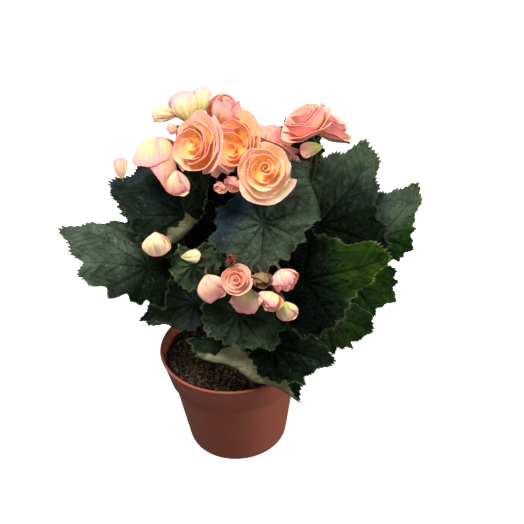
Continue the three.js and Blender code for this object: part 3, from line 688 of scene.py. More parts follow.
def make_litter():
    """What lies on the peat: crumbs, tan fibres, pale chips, and a patch of moss on the left."""
    draw = np.random.default_rng(LITTER_SEED)
    bpy.ops.object.select_all(action="DESELECT")
    bpy.ops.mesh.primitive_ico_sphere_add(subdivisions=1, radius=1)
    stone = bpy.context.object
    ball = np.array([vertex.co for vertex in stone.data.vertices])
    ball_faces = [tuple(polygon.vertices) for polygon in stone.data.polygons]
    bpy.data.objects.remove(stone)
    skin = Skin("bit_place", "bit_tone")
    for kind, count, small, large in ((CRUMB, CRUMBS, 0.6, 3.6), (CHIP, CHIPS, 0.35, 1.0)):
        for x, y in zip(*scattered(draw, count, SOIL_EDGE - 1)):
            size = small + (large - small) * draw.random() ** 2
            knobbly = ball * (1 + 0.5 * (draw.random((len(ball), 1)) - 0.5))
            lump = turned(draw, knobbly * draw.uniform(0.5, 1, 3))
            skin.add(lump * size + (x, y, soil_height(x, y) + 0.3 * size), ball_faces, kind)
    for x, y in zip(*scattered(draw, FIBRES, SOIL_EDGE - 4)):
        length = draw.uniform(2, 7)
        heading = turned(draw, np.array([length, 0, 0])) * (1, 1, 0.35)
        bend = draw.normal(0, 0.18 * length, 3) * (1, 1, 0.3)
        line = np.array([-heading / 2, -heading / 6 + bend, heading / 6 + bend * 0.8, heading / 2])
        line += (x, y, soil_height(x, y) + 0.7)
        points, faces = tube(line, (0.14, 0.2, 0.18, 0.1), 4)
        skin.add(points, faces, FIBRE)
    for x, y in zip(*scattered(draw, MOSS_BLADES, MOSS_REACH)):
        x, y = x + MOSS_MIDDLE[0], y + MOSS_MIDDLE[1]
        if math.hypot(x, y) > SOIL_EDGE - 1:
            continue
        foot = np.array([x, y, soil_height(x, y) - 0.2])
        lean = np.array([draw.normal(0, 0.9), draw.normal(0, 0.9), draw.uniform(1.2, 3)])
        points, faces = tube([foot, foot + lean * 0.5, foot + lean], (0.3, 0.34, 0.06), 3)
        skin.add(points, faces, MOSS)
    bits = (
        crumb_finish("peat_crumb", paint(7, 5, 4), paint(80, 60, 43)),
        crumb_finish("tan_fibre", paint(84, 60, 38), paint(150, 116, 78)),
        crumb_finish("pale_chip", paint(150, 134, 106), paint(214, 200, 172)),
        crumb_finish("moss", paint(46, 42, 20), paint(98, 90, 54)),
    )
    litter = skin.piece("soil_litter", bits)
    hand_in(litter)


# Leaves: the same outline, arch, waves and curls as the solids, with finer teeth, furrows and hairs

LEAF_SEED = 100
VEINS = 10
VEIN_STEP = 2 * math.pi / VEINS
SIDE_VEIN_SPACING = 10.0
SIDE_VEIN_LEAN = 0.95
VEIN_BEND = 0.12
VEIN_DRIFT = 0.14
FURROW_DEPTH = 1.1
FURROW_WIDTH = 1.8
PILLOW_RISE = 0.6
LOBE_DEPTH = 0.09
LOBULES = 23
LOBULE_DEPTH = 0.04
TOOTH_DEPTH = 0.038
TEETH_FINE = 150
TEETH_PLAIN = 100
RINGS_FINE = 34
RINGS_PLAIN = 14
RIM_SHARE = 0.955
RUFFLE = 2.2
SWELL = 2.6
CURL_SWAY = 1.6
LEAF_THICKNESS = 0.7
LEAF_SHARP_ANGLE = 50
COMMON_REACH = (1, 0.82, 0.72, 0.66, 0.58, 0.3, 0.58, 0.66, 0.72, 0.82)
DROOP = 0.12
ARCH = 0.12
WAVE = 3
WAVES = 5
QUILT = 2.3
TOP, UNDER, STEM, HAIR = range(4)
STEM_RADIUS = 3.6
STEM_TOP_RADIUS = 2.2
PETIOLE_RADIUS = 1.7
FLOWER_STALK_RADIUS = 1.6

# A shoot has the place of its root and the points that its stem rises through
SHOOTS = {
    "west": ((-15, -3), ((-26, -6, 130), (-40, -4, 178))),
    "northwest": ((-7, 12), ((-12, 14, 150), (-16, 16, 230))),
    "front": ((-3, -15), ((0, -26, 140), (4, -34, 200))),
    "middle": ((5, 1), ((8, 2, 160), (14, 4, 248))),
    "east": ((16, -6), ((34, -14, 125), (56, -20, 172))),
    "northeast": ((14, 12), ((36, 16, 150), (56, 6, 216))),
    "back": ((-1, 24), ((2, 38, 140), (4, 48, 190))),
}

# Every blade has a little painted sheen unless its row says otherwise.
PLAIN_LEAF = {
    "facing": (0, 0, 1), "reach": None, "curls": (), "glow": (0,), "grey": (0.1,), "dark": (0,),
    "fine": False,
}


def leaf_row(shoot, at, hub, tip, **own):
    """A leaf's row. At is the share of its shoot's stem at which its stalk leaves. Reach is how far its rim
    lies from its hub at each vein, from the tip round. A curl has the angle that it lies towards, how far
    out it starts, its radius and how far it turns. Each tone, of painted backlight, painted sheen and painted
    shade, has its strength and, where it isn't the same all over, the angle that it grows towards, how far
    out it starts and over what length it grows."""
    return {**PLAIN_LEAF, "shoot": shoot, "at": at, "hub": hub, "tip": tip, **own}


LEAVES = {
    "west_large": leaf_row(
        "west", 0.8, (-64, -14, 193), (-140, 30, 216), facing=(0.1, -0.55, 0.8),
        reach=(90, 58, 40, 34, 38, 22, 20, 14, 14, 20), grey=(0.75, 0, -10, 50), dark=(0.6, 180, -20, 50),
        fine=True,
    ),
    "west_behind": leaf_row(
        "west", 0.9, (-66, 26, 193), (-118, 48, 205), facing=(0, -0.25, 1),
        reach=(56, 26, 20, 18, 16, 10, 16, 22, 28, 34), curls=((90, 12, 4, 130),), grey=(0.4,),
    ),
    "west_low": leaf_row(
        "west", 0.4, (-28, -26, 163), (-76, -32, 154), facing=(0, -0.5, 0.85),
        reach=(50, 28, 24, 22, 22, 10, 20, 22, 24, 36), glow=(0.3, 0, 15, 20), grey=(0.3,),
        dark=(0.5, 180, -30, 40),
    ),
    "west_back": leaf_row("west", 0.6, (-56, 34, 156), (-112, 58, 154)),
    "northwest_upper": leaf_row(
        "northwest", 0.85, (-31, -10, 238), (-92, 24, 254), facing=(0, -0.6, 0.8),
        reach=(76, 46, 44, 40, 30, 12, 16, 24, 46, 74), curls=((150, 12, 4.5, 150), (75, 36, 4, 140)),
        grey=(0.22, 0, -20, 60), dark=(0.55,), fine=True,
    ),
    "northwest_back": leaf_row("northwest", 0.75, (-40, 42, 216), (-86, 92, 222)),
    # A leaf in the plant's deep middle, darkened all over by painted shade.
    "middle_dark": leaf_row(
        "northwest", 0.65, (-7, -8, 204), (-9, 2, 242), facing=(0, -1, 0.2), dark=(0.9,),
    ),
    "front_top": leaf_row(
        "front", 0.9, (31, -40, 245), (30, -66, 220), facing=(0, -0.8, 0.55),
        reach=(39, 33, 34, 54, 62, 28, 30, 37, 43, 43), curls=((100, 38, -5, 80),), grey=(0.45,),
        dark=(0.85, 232, -2, 30), fine=True,
    ),
    "front_small": leaf_row(
        "front", 0.7, (-25, -46, 213), (-27, -60, 199), facing=(0, -0.75, 0.65),
        reach=(20, 19, 21, 25, 22, 12, 18, 18, 18, 18), glow=(0.35,), grey=(0.45,), fine=True,
    ),
    "front_middle": leaf_row(
        "front", 0.6, (8, -58, 174), (12, -76, 156), facing=(0, -0.7, 0.7),
        reach=(28, 40, 42, 34, 26, 18, 26, 30, 30, 26), grey=(0.35, 0, -20, 40), dark=(0.4, 150, -5, 30),
        fine=True,
    ),
    # A leaf in the plant's deep middle, darkened all over by painted shade.
    "front_screen": leaf_row(
        "front", 0.85, (14, -36, 196), (20, -52, 172), facing=(0, -0.8, 0.5),
        reach=(30, 30, 28, 22, 20, 22, 24, 26, 28, 30), dark=(0.9,),
    ),
    "front_rim": leaf_row(
        "front", 0.4, (5, -44, 132), (60, -76, 100), facing=(0, -0.4, 0.9),
        reach=(72, 30, 22, 22, 26, 16, 40, 40, 46, 60), curls=((-73, 18, 4.5, 150),), fine=True,
    ),
    "middle_back": leaf_row("middle", 0.9, (10, 40, 262), (12, 88, 274)),
    "middle_screen": leaf_row(
        # A leaf in the plant's deep middle, darkened all over by painted shade.
        "middle", 0.7, (10, 34, 238), (8, 48, 276), facing=(0, -0.8, 0.5),
        reach=(40, 36, 32, 28, 22, 14, 22, 28, 32, 36), dark=(0.9,),
    ),
    "top_back": leaf_row("middle", 0.9, (64, 42, 262), (52, 48, 290), facing=(0, -0.8, 0.5), dark=(0.7,)),
    "east_front": leaf_row(
        "east", 0.9, (61, -52, 198), (135, -30, 209), facing=(0, -0.7, 0.7),
        reach=(76, 44, 48, 40, 42, 32, 38, 46, 44, 42), glow=(0.8, 5, 14, 30), grey=(0,),
        dark=(0.95, 180, -34, 34), fine=True,
    ),
    "east_rim": leaf_row(
        "front", 0.55, (34, -62, 143), (85, -58, 125), facing=(0.1, -0.7, 0.7),
        reach=(56, 36, 30, 26, 24, 12, 22, 26, 30, 40), grey=(0.3, 0, 10, 50), dark=(0.62, 180, -60, 60),
        fine=True,
    ),
    "east_low": leaf_row(
        "east", 0.6, (80, -11, 134), (129, -3, 116), facing=(0, -0.6, 0.8),
        reach=(54, 28, 24, 26, 24, 12, 24, 28, 34, 38), glow=(0.7, 0, -10, 40),
    ),
    "northeast_large": leaf_row(
        "northeast", 0.9, (77, 14, 208), (130, 66, 259), facing=(-0.1, -0.7, 0.7),
        reach=(90, 68, 42, 28, 18, 10, 22, 40, 62, 54), glow=(0.4, 30, 45, 30), grey=(0.55, 30, 0, 60),
        dark=(0.55, 250, -20, 50), fine=True,
    ),
    "east_outer": leaf_row(
        "northeast", 0.75, (132, 34, 181), (171, 68, 217), facing=(0, -0.6, 0.8),
        reach=(62, 42, 26, 22, 22, 12, 22, 26, 30, 32), glow=(0.5, -60, -5, 30), grey=(0.85, 60, -10, 30),
    ),
    "east_middle": leaf_row(
        "northeast", 0.6, (106, 22, 141), (154, 40, 148), facing=(0, -0.6, 0.8),
        reach=(48, 36, 30, 26, 24, 12, 26, 30, 34, 44), glow=(0.8, 0, -20, 40),
    ),
    "northeast_back": leaf_row("northeast", 0.7, (76, 64, 198), (118, 110, 198)),
    "back_left": leaf_row("back", 0.8, (-24, 68, 172), (-56, 124, 160)),
    "back_right": leaf_row("back", 0.85, (30, 76, 180), (48, 134, 170)),
    "back_low": leaf_row("back", 0.35, (4, 66, 124), (-2, 122, 104)),
    "back_low_left": leaf_row("back", 0.5, (-34, 62, 130), (-74, 100, 116)),
    "back_low_right": leaf_row("back", 0.55, (48, 62, 146), (98, 98, 134)),
}


def edge_reach(leaf, angle):
    """How far out the rim lies at an angle, with a shallow bay between each vein and the next."""
    turns = np.mod(angle / VEIN_STEP, VEINS)
    whole = np.floor(turns + 1e-6)
    vein = whole.astype(int) % VEINS
    share = np.clip(turns - whole, 0, 1)
    smooth = (1 - np.cos(np.pi * share)) / 2
    between = leaf["reach"][vein] * (1 - smooth) + leaf["reach"][(vein + 1) % VEINS] * smooth
    return between * (1 - LOBE_DEPTH * np.sin(np.pi * share))


def curled(x, y, z, seed, towards, start, radius, most):
    """Points rolled up past a line across the blade, or rolled down if the radius is negative."""
    cos, sin = math.cos(math.radians(towards)), math.sin(math.radians(towards))
    sway = CURL_SWAY * np.sin((y * cos - x * sin) / 7 + seed)
    past = np.maximum(x * cos + y * sin - start - sway, 0)
    turn = np.minimum(past / abs(radius), math.radians(most))
    rest = past - turn * abs(radius)
    forward = abs(radius) * np.sin(turn) + rest * np.cos(turn)
    rise = abs(radius) * (1 - np.cos(turn)) + rest * np.sin(turn)
    return x + (forward - past) * cos, y + (forward - past) * sin, z + math.copysign(1, radius) * rise


def leaf_points(leaf, angle, share, tooth):
    """Points of the blade at angles from the tip and shares of the way out, and their places on the flat
    blade. The places are turned a little with distance and angle, so that the veins run in curves."""
    wander = leaf["seed"] + 0.9 * np.sin(3 * angle + leaf["seed"])
    lobules = np.sin(angle * LOBULES + wander) + 0.8 * np.sin(angle * 11 + 2.1 * leaf["seed"])
    lobules = 1 + LOBULE_DEPTH * lobules * share ** 4
    reach = edge_reach(leaf, angle) * (1 - tooth) * share * lobules
    x = reach * np.cos(angle)
    y = reach * np.sin(angle)
    bend = VEIN_BEND * np.sin(reach / 24) + VEIN_DRIFT * np.sin(2 * angle)
    bent = angle + bend * reach / (reach + 12)
    place = np.stack([reach * np.cos(bent), reach * np.sin(bent), np.broadcast_to(share, x.shape)], axis=-1)
    z = QUILT * np.sin(math.pi * angle / VEIN_STEP) ** 2 * share * (1.2 - 0.7 * share)
    turn = (np.mod(bent / VEIN_STEP + 0.5, 1) - 0.5) * VEIN_STEP
    aside = np.abs(reach * np.sin(turn))
    along = reach * np.cos(turn)
    furrow = FURROW_DEPTH * np.exp(-((aside / FURROW_WIDTH) ** 2))
    z = z - furrow * (1 - 0.7 * share) * (0.65 + 0.35 * np.cos(angle))
    pillow = np.cos((along - SIDE_VEIN_LEAN * aside) / SIDE_VEIN_SPACING * 2 * math.pi)
    z = z - PILLOW_RISE * pillow * np.clip(aside / 6, 0, 1)
    z = z - (DROOP * x * np.abs(x) + ARCH * y * y) / leaf["reach"][0]
    z = z + WAVE * share ** 2 * np.sin(WAVES * angle)
    size = np.clip(reach / 40, 0.2, 1)
    z = z + RUFFLE * share ** 3 * size * np.sin(13 * angle + 1.5 * np.sin(2 * angle))
    swell = np.sin(x / 15 + leaf["swell"]) * np.sin(y / 13 + 1.3 * leaf["swell"])
    z = z + SWELL * size * (swell + 0.5 * np.sin(x / 7.3 - y / 9.1 + 2.1 * leaf["swell"]))
    for curl in leaf["curls"]:
        x, y, z = curled(x, y, z, leaf["seed"], *curl)
    axes = (leaf["along"], leaf["across"], leaf["normal"])
    out = sum(np.asarray(value)[..., None] * axis for value, axis in zip((x, y, z), axes))
    return leaf["hub"] + out, place


def placed_leaf(row, number):
    """A row of LEAVES with its axes, its reach at each vein and its seed worked out."""
    leaf = dict(row)
    leaf["hub"] = np.array(leaf["hub"], float)
    reach = np.array(leaf["tip"], float) - leaf["hub"]
    length = np.linalg.norm(reach)
    leaf["reach"] = np.array(leaf["reach"] or [share * length for share in COMMON_REACH], float)
    leaf["along"] = reach / length
    facing = np.array(leaf["facing"], float)
    leaf["normal"] = unit(facing - leaf["along"] * facing.dot(leaf["along"]))
    leaf["across"] = np.cross(leaf["normal"], leaf["along"])
    leaf["seed"] = number
    leaf["swell"] = 2.4 * number
    return leaf


def ramp_towards(place, strength, towards=0, start=-999, length=1):
    """How strong a tone is at each flat place of a blade, growing towards an angle, or the same all over."""
    angle = math.radians(towards)
    past = (place[..., 0] * math.cos(angle) + place[..., 1] * math.sin(angle) - start) / length
    past = np.clip(past, 0, 1)
    return strength * past * past * (3 - 2 * past)


def blade_painted_light(leaf, place):
    """How much painted backlight, painted sheen and painted shade a blade has at each of its places."""
    return np.stack([ramp_towards(place, *leaf[key]) for key in ("glow", "grey", "dark")], axis=-1)


def add_leaf(skin, leaf):
    """A blade: its hub, rings of points out to the rim, and a last band cut into teeth."""
    draw = np.random.default_rng(LEAF_SEED + leaf["seed"])
    columns = TEETH_FINE if leaf["fine"] else TEETH_PLAIN
    rings = RINGS_FINE if leaf["fine"] else RINGS_PLAIN
    angles = np.arange(columns) / columns * 2 * math.pi
    shares = np.linspace(0, RIM_SHARE, rings + 1)[1:]
    inner, inner_place = leaf_points(leaf, angles[None, :], shares[:, None], 0)
    depths = TOOTH_DEPTH * draw.uniform(0.5, 1.3, columns) * np.where(np.arange(columns) % 4 == 0, 1.5, 1)
    tooth_angles = (angles[:, None] + np.array([0, 0.42, 0.72]) / columns * 2 * math.pi).ravel()
    teeth = (depths[:, None] * np.array([1, -0.25, 0.35])).ravel()
    outer, outer_place = leaf_points(leaf, tooth_angles, 1.0, teeth)
    hub, hub_place = leaf_points(leaf, np.zeros(1), 0.0, 0)
    points = np.concatenate([hub, inner.reshape(-1, 3), outer])
    place = np.concatenate([hub_place, inner_place.reshape(-1, 3), outer_place])
    faces = [(0, 1 + j, 1 + (j + 1) % columns) for j in range(columns)]
    faces += [(1 + a, 1 + d, 1 + c, 1 + b) for a, b, c, d in grid_faces(rings, columns, True)]
    last = 1 + (rings - 1) * columns
    edge = last + columns
    for j in range(columns):
        beside = (j + 1) % columns
        tips = [edge + 3 * j, edge + 3 * j + 1, edge + 3 * j + 2, edge + 3 * beside]
        faces.append((last + j, tips[0], tips[1]))
        faces.append((last + j, tips[1], tips[2], last + beside))
        faces.append((last + beside, tips[2], tips[3]))
    skin.add(points, faces, TOP, place, blade_painted_light(leaf, place))
    return outer


HAIR_SEED = 300
HAIR_LENGTH = 1.3
HAIR_RADIUS = 0.09
HAIR_ROOT = 0.2
HAIR_TURNS = (0, 2.1, 4.2)
HAIR_FACES = ((0, 1, 2), (0, 3, 1), (1, 3, 2), (2, 3, 0))


def add_hairs(skin, leaf, rim):
    """Short pale hairs that stand out round the rim."""
    draw = np.random.default_rng(HAIR_SEED + leaf["seed"])
    for foot in rim[:: 1 if leaf["fine"] else 2]:
        outward = unit(unit(foot - leaf["hub"]) + draw.normal(0, 0.5, 3))
        side = unit(np.cross(outward, leaf["normal"] + draw.normal(0, 0.2, 3)))
        other = np.cross(outward, side)
        feet = [
            foot + HAIR_RADIUS * (side * math.cos(turn) + other * math.sin(turn)) - HAIR_ROOT * outward
            for turn in HAIR_TURNS
        ]
        length = HAIR_LENGTH * draw.uniform(0.5, 1.2)
        skin.add(np.array([*feet, foot + outward * length]), HAIR_FACES, HAIR)


# Stems and stalks

STEM_PIECES = 100
STEM_CURVE_POINTS = 30
STEM_SIDES = 14
PATH_POINTS = 15
PETIOLE_SIDES = 9
PETIOLE_LEAVE = 14
PETIOLE_DROP = 16
PETIOLE_BACK = 10
FLOWER_STALK_SIDES = 8
STALK_START = 0.96


def stem_line(shoot):
    """A smooth line through the shoot's points, from its root up, in close steps of even length."""
    (x, y), through = SHOOTS[shoot]
    points = [(x, y, SOIL_LEVEL - ROOT_DEPTH), (x, y, SOIL_LEVEL - 4), (x, y, SOIL_LEVEL + 8), *through]
    points = np.array(points, float)
    points = np.vstack([2 * points[0] - points[1], points, 2 * points[-1] - points[-2]])
    line = []
    for p0, p1, p2, p3 in zip(points, points[1:], points[2:], points[3:]):
        d0, d1, d2 = (np.linalg.norm(b - a) ** 0.5 for a, b in ((p0, p1), (p1, p2), (p2, p3)))
        leave = ((p1 - p0) / d0 - (p2 - p0) / (d0 + d1) + (p2 - p1) / d1) * d1
        arrive = ((p2 - p1) / d1 - (p3 - p1) / (d1 + d2) + (p3 - p2) / d2) * d1
        t = np.linspace(0, 1, STEM_CURVE_POINTS)[:, None]
        cubic = 2 * p1 - 2 * p2 + leave + arrive
        square = -3 * p1 + 3 * p2 - 2 * leave - arrive
        line.append(p1 + leave * t + square * t * t + cubic * t ** 3)
    line = np.concatenate(line)
    gone = np.concatenate([[0], np.cumsum(np.linalg.norm(np.diff(line, axis=0), axis=1))])
    even = np.linspace(0, gone[-1], STEM_PIECES + 1)
    return np.stack([np.interp(even, gone, line[:, axis]) for axis in range(3)], axis=1)


def at_share(line, share):
    """The point at a share of a line's length, and the line's heading there."""
    place = share * (len(line) - 1)
    before = min(int(place), len(line) - 2)
    point = line[before] + (line[before + 1] - line[before]) * (place - before)
    return point, unit(line[before + 1] - line[before])


def add_petiole(skin, leaf, line):
    """A leaf's own stalk, from the stem to the underside of its hub."""
    start, heading = at_share(line, leaf["at"])
    under = leaf["hub"] - PETIOLE_DROP * leaf["normal"] - PETIOLE_BACK * leaf["along"]
    top = leaf["hub"] - (FURROW_DEPTH + 0.6) * leaf["normal"]
    path = bezier((start, start + PETIOLE_LEAVE * heading, under, top), PATH_POINTS)
    radii = np.linspace(PETIOLE_RADIUS, PETIOLE_RADIUS * 0.75, PATH_POINTS)
    points, faces = tube(path, radii, PETIOLE_SIDES)
    skin.add(points, faces, STEM)


def add_flower_stalk(skin, flower, line):
    """A stalk from the top of the stem to a flower's foot."""
    start, heading = at_share(line, STALK_START)
    facing = unit(flower["facing"])
    end = foot_of(flower)
    distance = np.linalg.norm(end - start)
    arriving = unit(flower.get("nod", facing))
    leave, arrive = start + 0.4 * distance * heading, end - 0.3 * distance * arriving
    path = bezier((start, leave, arrive, end + 0.6 * facing), PATH_POINTS)
    radii = np.linspace(FLOWER_STALK_RADIUS, FLOWER_STALK_RADIUS * 0.8, PATH_POINTS)
    points, faces = tube(path, radii, FLOWER_STALK_SIDES)
    skin.add(points, faces, STEM)


def make_shoot(name, materials):
    """One leafy shoot: its blades get their thickness first, then its stem, stalks and hairs join them."""
    blades = Skin("blade_place", "blade_painted_light")
    rest = Skin("blade_place", "blade_painted_light")
    line = stem_line(name)
    rings = line[::4]
    points, faces = tube(rings, np.linspace(STEM_RADIUS, STEM_TOP_RADIUS, len(rings)), STEM_SIDES)
    rest.add(points, faces, STEM)
    for number, row in enumerate(LEAVES.values()):
        if row["shoot"] == name:
            leaf = placed_leaf(row, number)
            rim = add_leaf(blades, leaf)
            add_petiole(rest, leaf, line)
            add_hairs(rest, leaf, rim)
    for flower in FLOWERS.values():
        if flower["shoot"] == name:
            add_flower_stalk(rest, flower, line)
    foliage = blades.piece(f"foliage_{name}", materials)
    apply_modifier(foliage, "SOLIDIFY", thickness=LEAF_THICKNESS * MM, offset=0, material_offset=UNDER)
    stalks = rest.piece(f"stalks_{name}", materials)
    select_only(foliage)
    stalks.select_set(True)
    bpy.ops.object.join()
    bpy.ops.object.shade_smooth_by_angle(angle=math.radians(LEAF_SHARP_ANGLE))
    hand_in(foliage, [f"shoot_{name}"])


# Flowers: petals in layers, each on a bowl round the flower's axis

# A form has the height of its foot, its layers and, on a bloom, its heart. A layer has its number of petals
# and the radius and height of its foot, belly and rim. A heart is one petal rolled up in the middle, with
# its number of turns, its widest radius and the heights of its foot and rim. All are shares of the flower's
# radius, and heights are measured from its middle.
FORMS = {
    "rose": {
        "foot": -0.46,
        "layers": (
            (4, (0.07, -0.46), (0.80, -0.52), (0.90, -0.04)),
            (4, (0.07, -0.40), (0.66, -0.42), (0.70, 0.14)),
            (3, (0.07, -0.32), (0.50, -0.30), (0.50, 0.26)),
        ),
        "heart": (1.9, 0.30, -0.22, 0.32),
    },
    "cup": {
        "foot": -0.5,
        "layers": (
            (3, (0.07, -0.50), (0.98, -0.50), (0.90, 0.16)),
            (3, (0.07, -0.42), (0.82, -0.46), (0.74, 0.22)),
            (3, (0.07, -0.34), (0.60, -0.38), (0.54, 0.16)),
        ),
        "heart": (1.3, 0.30, -0.34, 0.02),
    },
    "loose": {
        "foot": -0.7,
        "layers": (
            (3, (0.07, -0.70), (1.02, -0.62), (0.90, 0.38)),
            (3, (0.07, -0.60), (0.80, -0.52), (0.66, 0.46)),
            (2, (0.07, -0.50), (0.54, -0.40), (0.44, 0.46)),
        ),
        "heart": (1.6, 0.28, -0.30, 0.38),
    },
    "bell": {
        "foot": -0.8,
        "layers": (
            (3, (0.06, -0.80), (1.00, -0.78), (0.92, 0.95)),
            (3, (0.06, -0.70), (0.74, -0.60), (0.56, 0.74)),
        ),
        "heart": (1.4, 0.24, -0.40, 0.40),
    },
    "opening": {
        "foot": -0.85,
        "layers": (
            (3, (0.06, -0.85), (1.30, -0.40), (0.55, 0.62)),
            (2, (0.06, -0.75), (0.95, -0.30), (0.40, 0.66)),
        ),
        "heart": (1.6, 0.26, -0.30, 0.60),
    },
    "bud": {
        "foot": -0.95,
        "layers": (
            (2, (0.05, -0.95), (1.50, -0.15), (0.50, 0.90)),
            (2, (0.05, -0.85), (1.24, -0.15), (0.40, 0.82)),
        ),
    },
    "tall_bud": {
        "foot": -0.95,
        "layers": (
            (2, (0.05, -0.95), (1.08, 0.0), (0.50, 0.90)),
            (2, (0.05, -0.85), (0.90, 0.0), (0.40, 0.82)),
        ),
    },
    "slim_bud": {
        "foot": -0.95,
        "layers": (
            (2, (0.05, -0.95), (0.66, 0.0), (0.42, 0.88)),
            (2, (0.05, -0.85), (0.54, 0.0), (0.32, 0.80)),
        ),
    },
}
BUD_FORMS = ("opening", "bud", "tall_bud", "slim_bud")
FLOWER_SEED = 500
LAYER_TURN = 0.3
SPIRAL = 0.11
OVERLAP = 1.45
WIDTH_SPREAD = 0.045
HEIGHT_SPREAD = 0.03
TURN_SPREAD = 0.1
PETAL_ROWS = 12
PETAL_THICKNESS = 0.35
PETAL_SHARP_ANGLE = 60
ROLL_START = 0.62
ROLL_OUT = 0.10
ROLL_DOWN = 0.08
RIM_WAVE = 0.034
RIM_FLUTTER = 0.015
MARGIN_FLARE = 0.09
HEART_ROWS = 6
HEART_COLUMNS = 90
HEART_RIM_WAVE = 0.03
HEART_RIM_FALL = 0.05
# A petal's shape: points across, how round its corners are, how far its bowl is pressed flat at its foot and
# at its rim, and how deep its folds are
OPEN_PETAL = {"columns": 15, "rounding": 0.26, "flatness": 1, "pressed": 1, "ridges": 0}
BUD_PETAL = {"columns": 29, "rounding": 0.42, "flatness": 0.80, "pressed": 0.16, "ridges": 0.065}
GUARDS_ROUND = 3.4
GUARD_BELLY = 0.7
GUARD_SAG = 0.15
GUARD_HEIGHT = -0.12
GUARD_FRILL = 1.5
GUARD_TONE = (0.1, 1.7, 1)
TOWARDS_VIEWER = (0, -0.84, 0.54)
UPWARDS = (0, 0.02, 1)


def flower_row(shoot, form, centre, facing, radius, tone, **own):
    """A flower's row. Tone says how orange, pink and green its petals are, frill how wavy their rims are,
    spin how far round they start, uneven how much taller one side is, drift how far each layer slides aside
    on the one before, and nod the heading in which the stalk arrives. Guards are broad outer petals, each
    with its angle, its reach and, where it differs, its own tone."""
    row = {"shoot": shoot, "form": form, "centre": centre, "facing": facing, "radius": radius, "tone": tone}
    return {**row, **own}


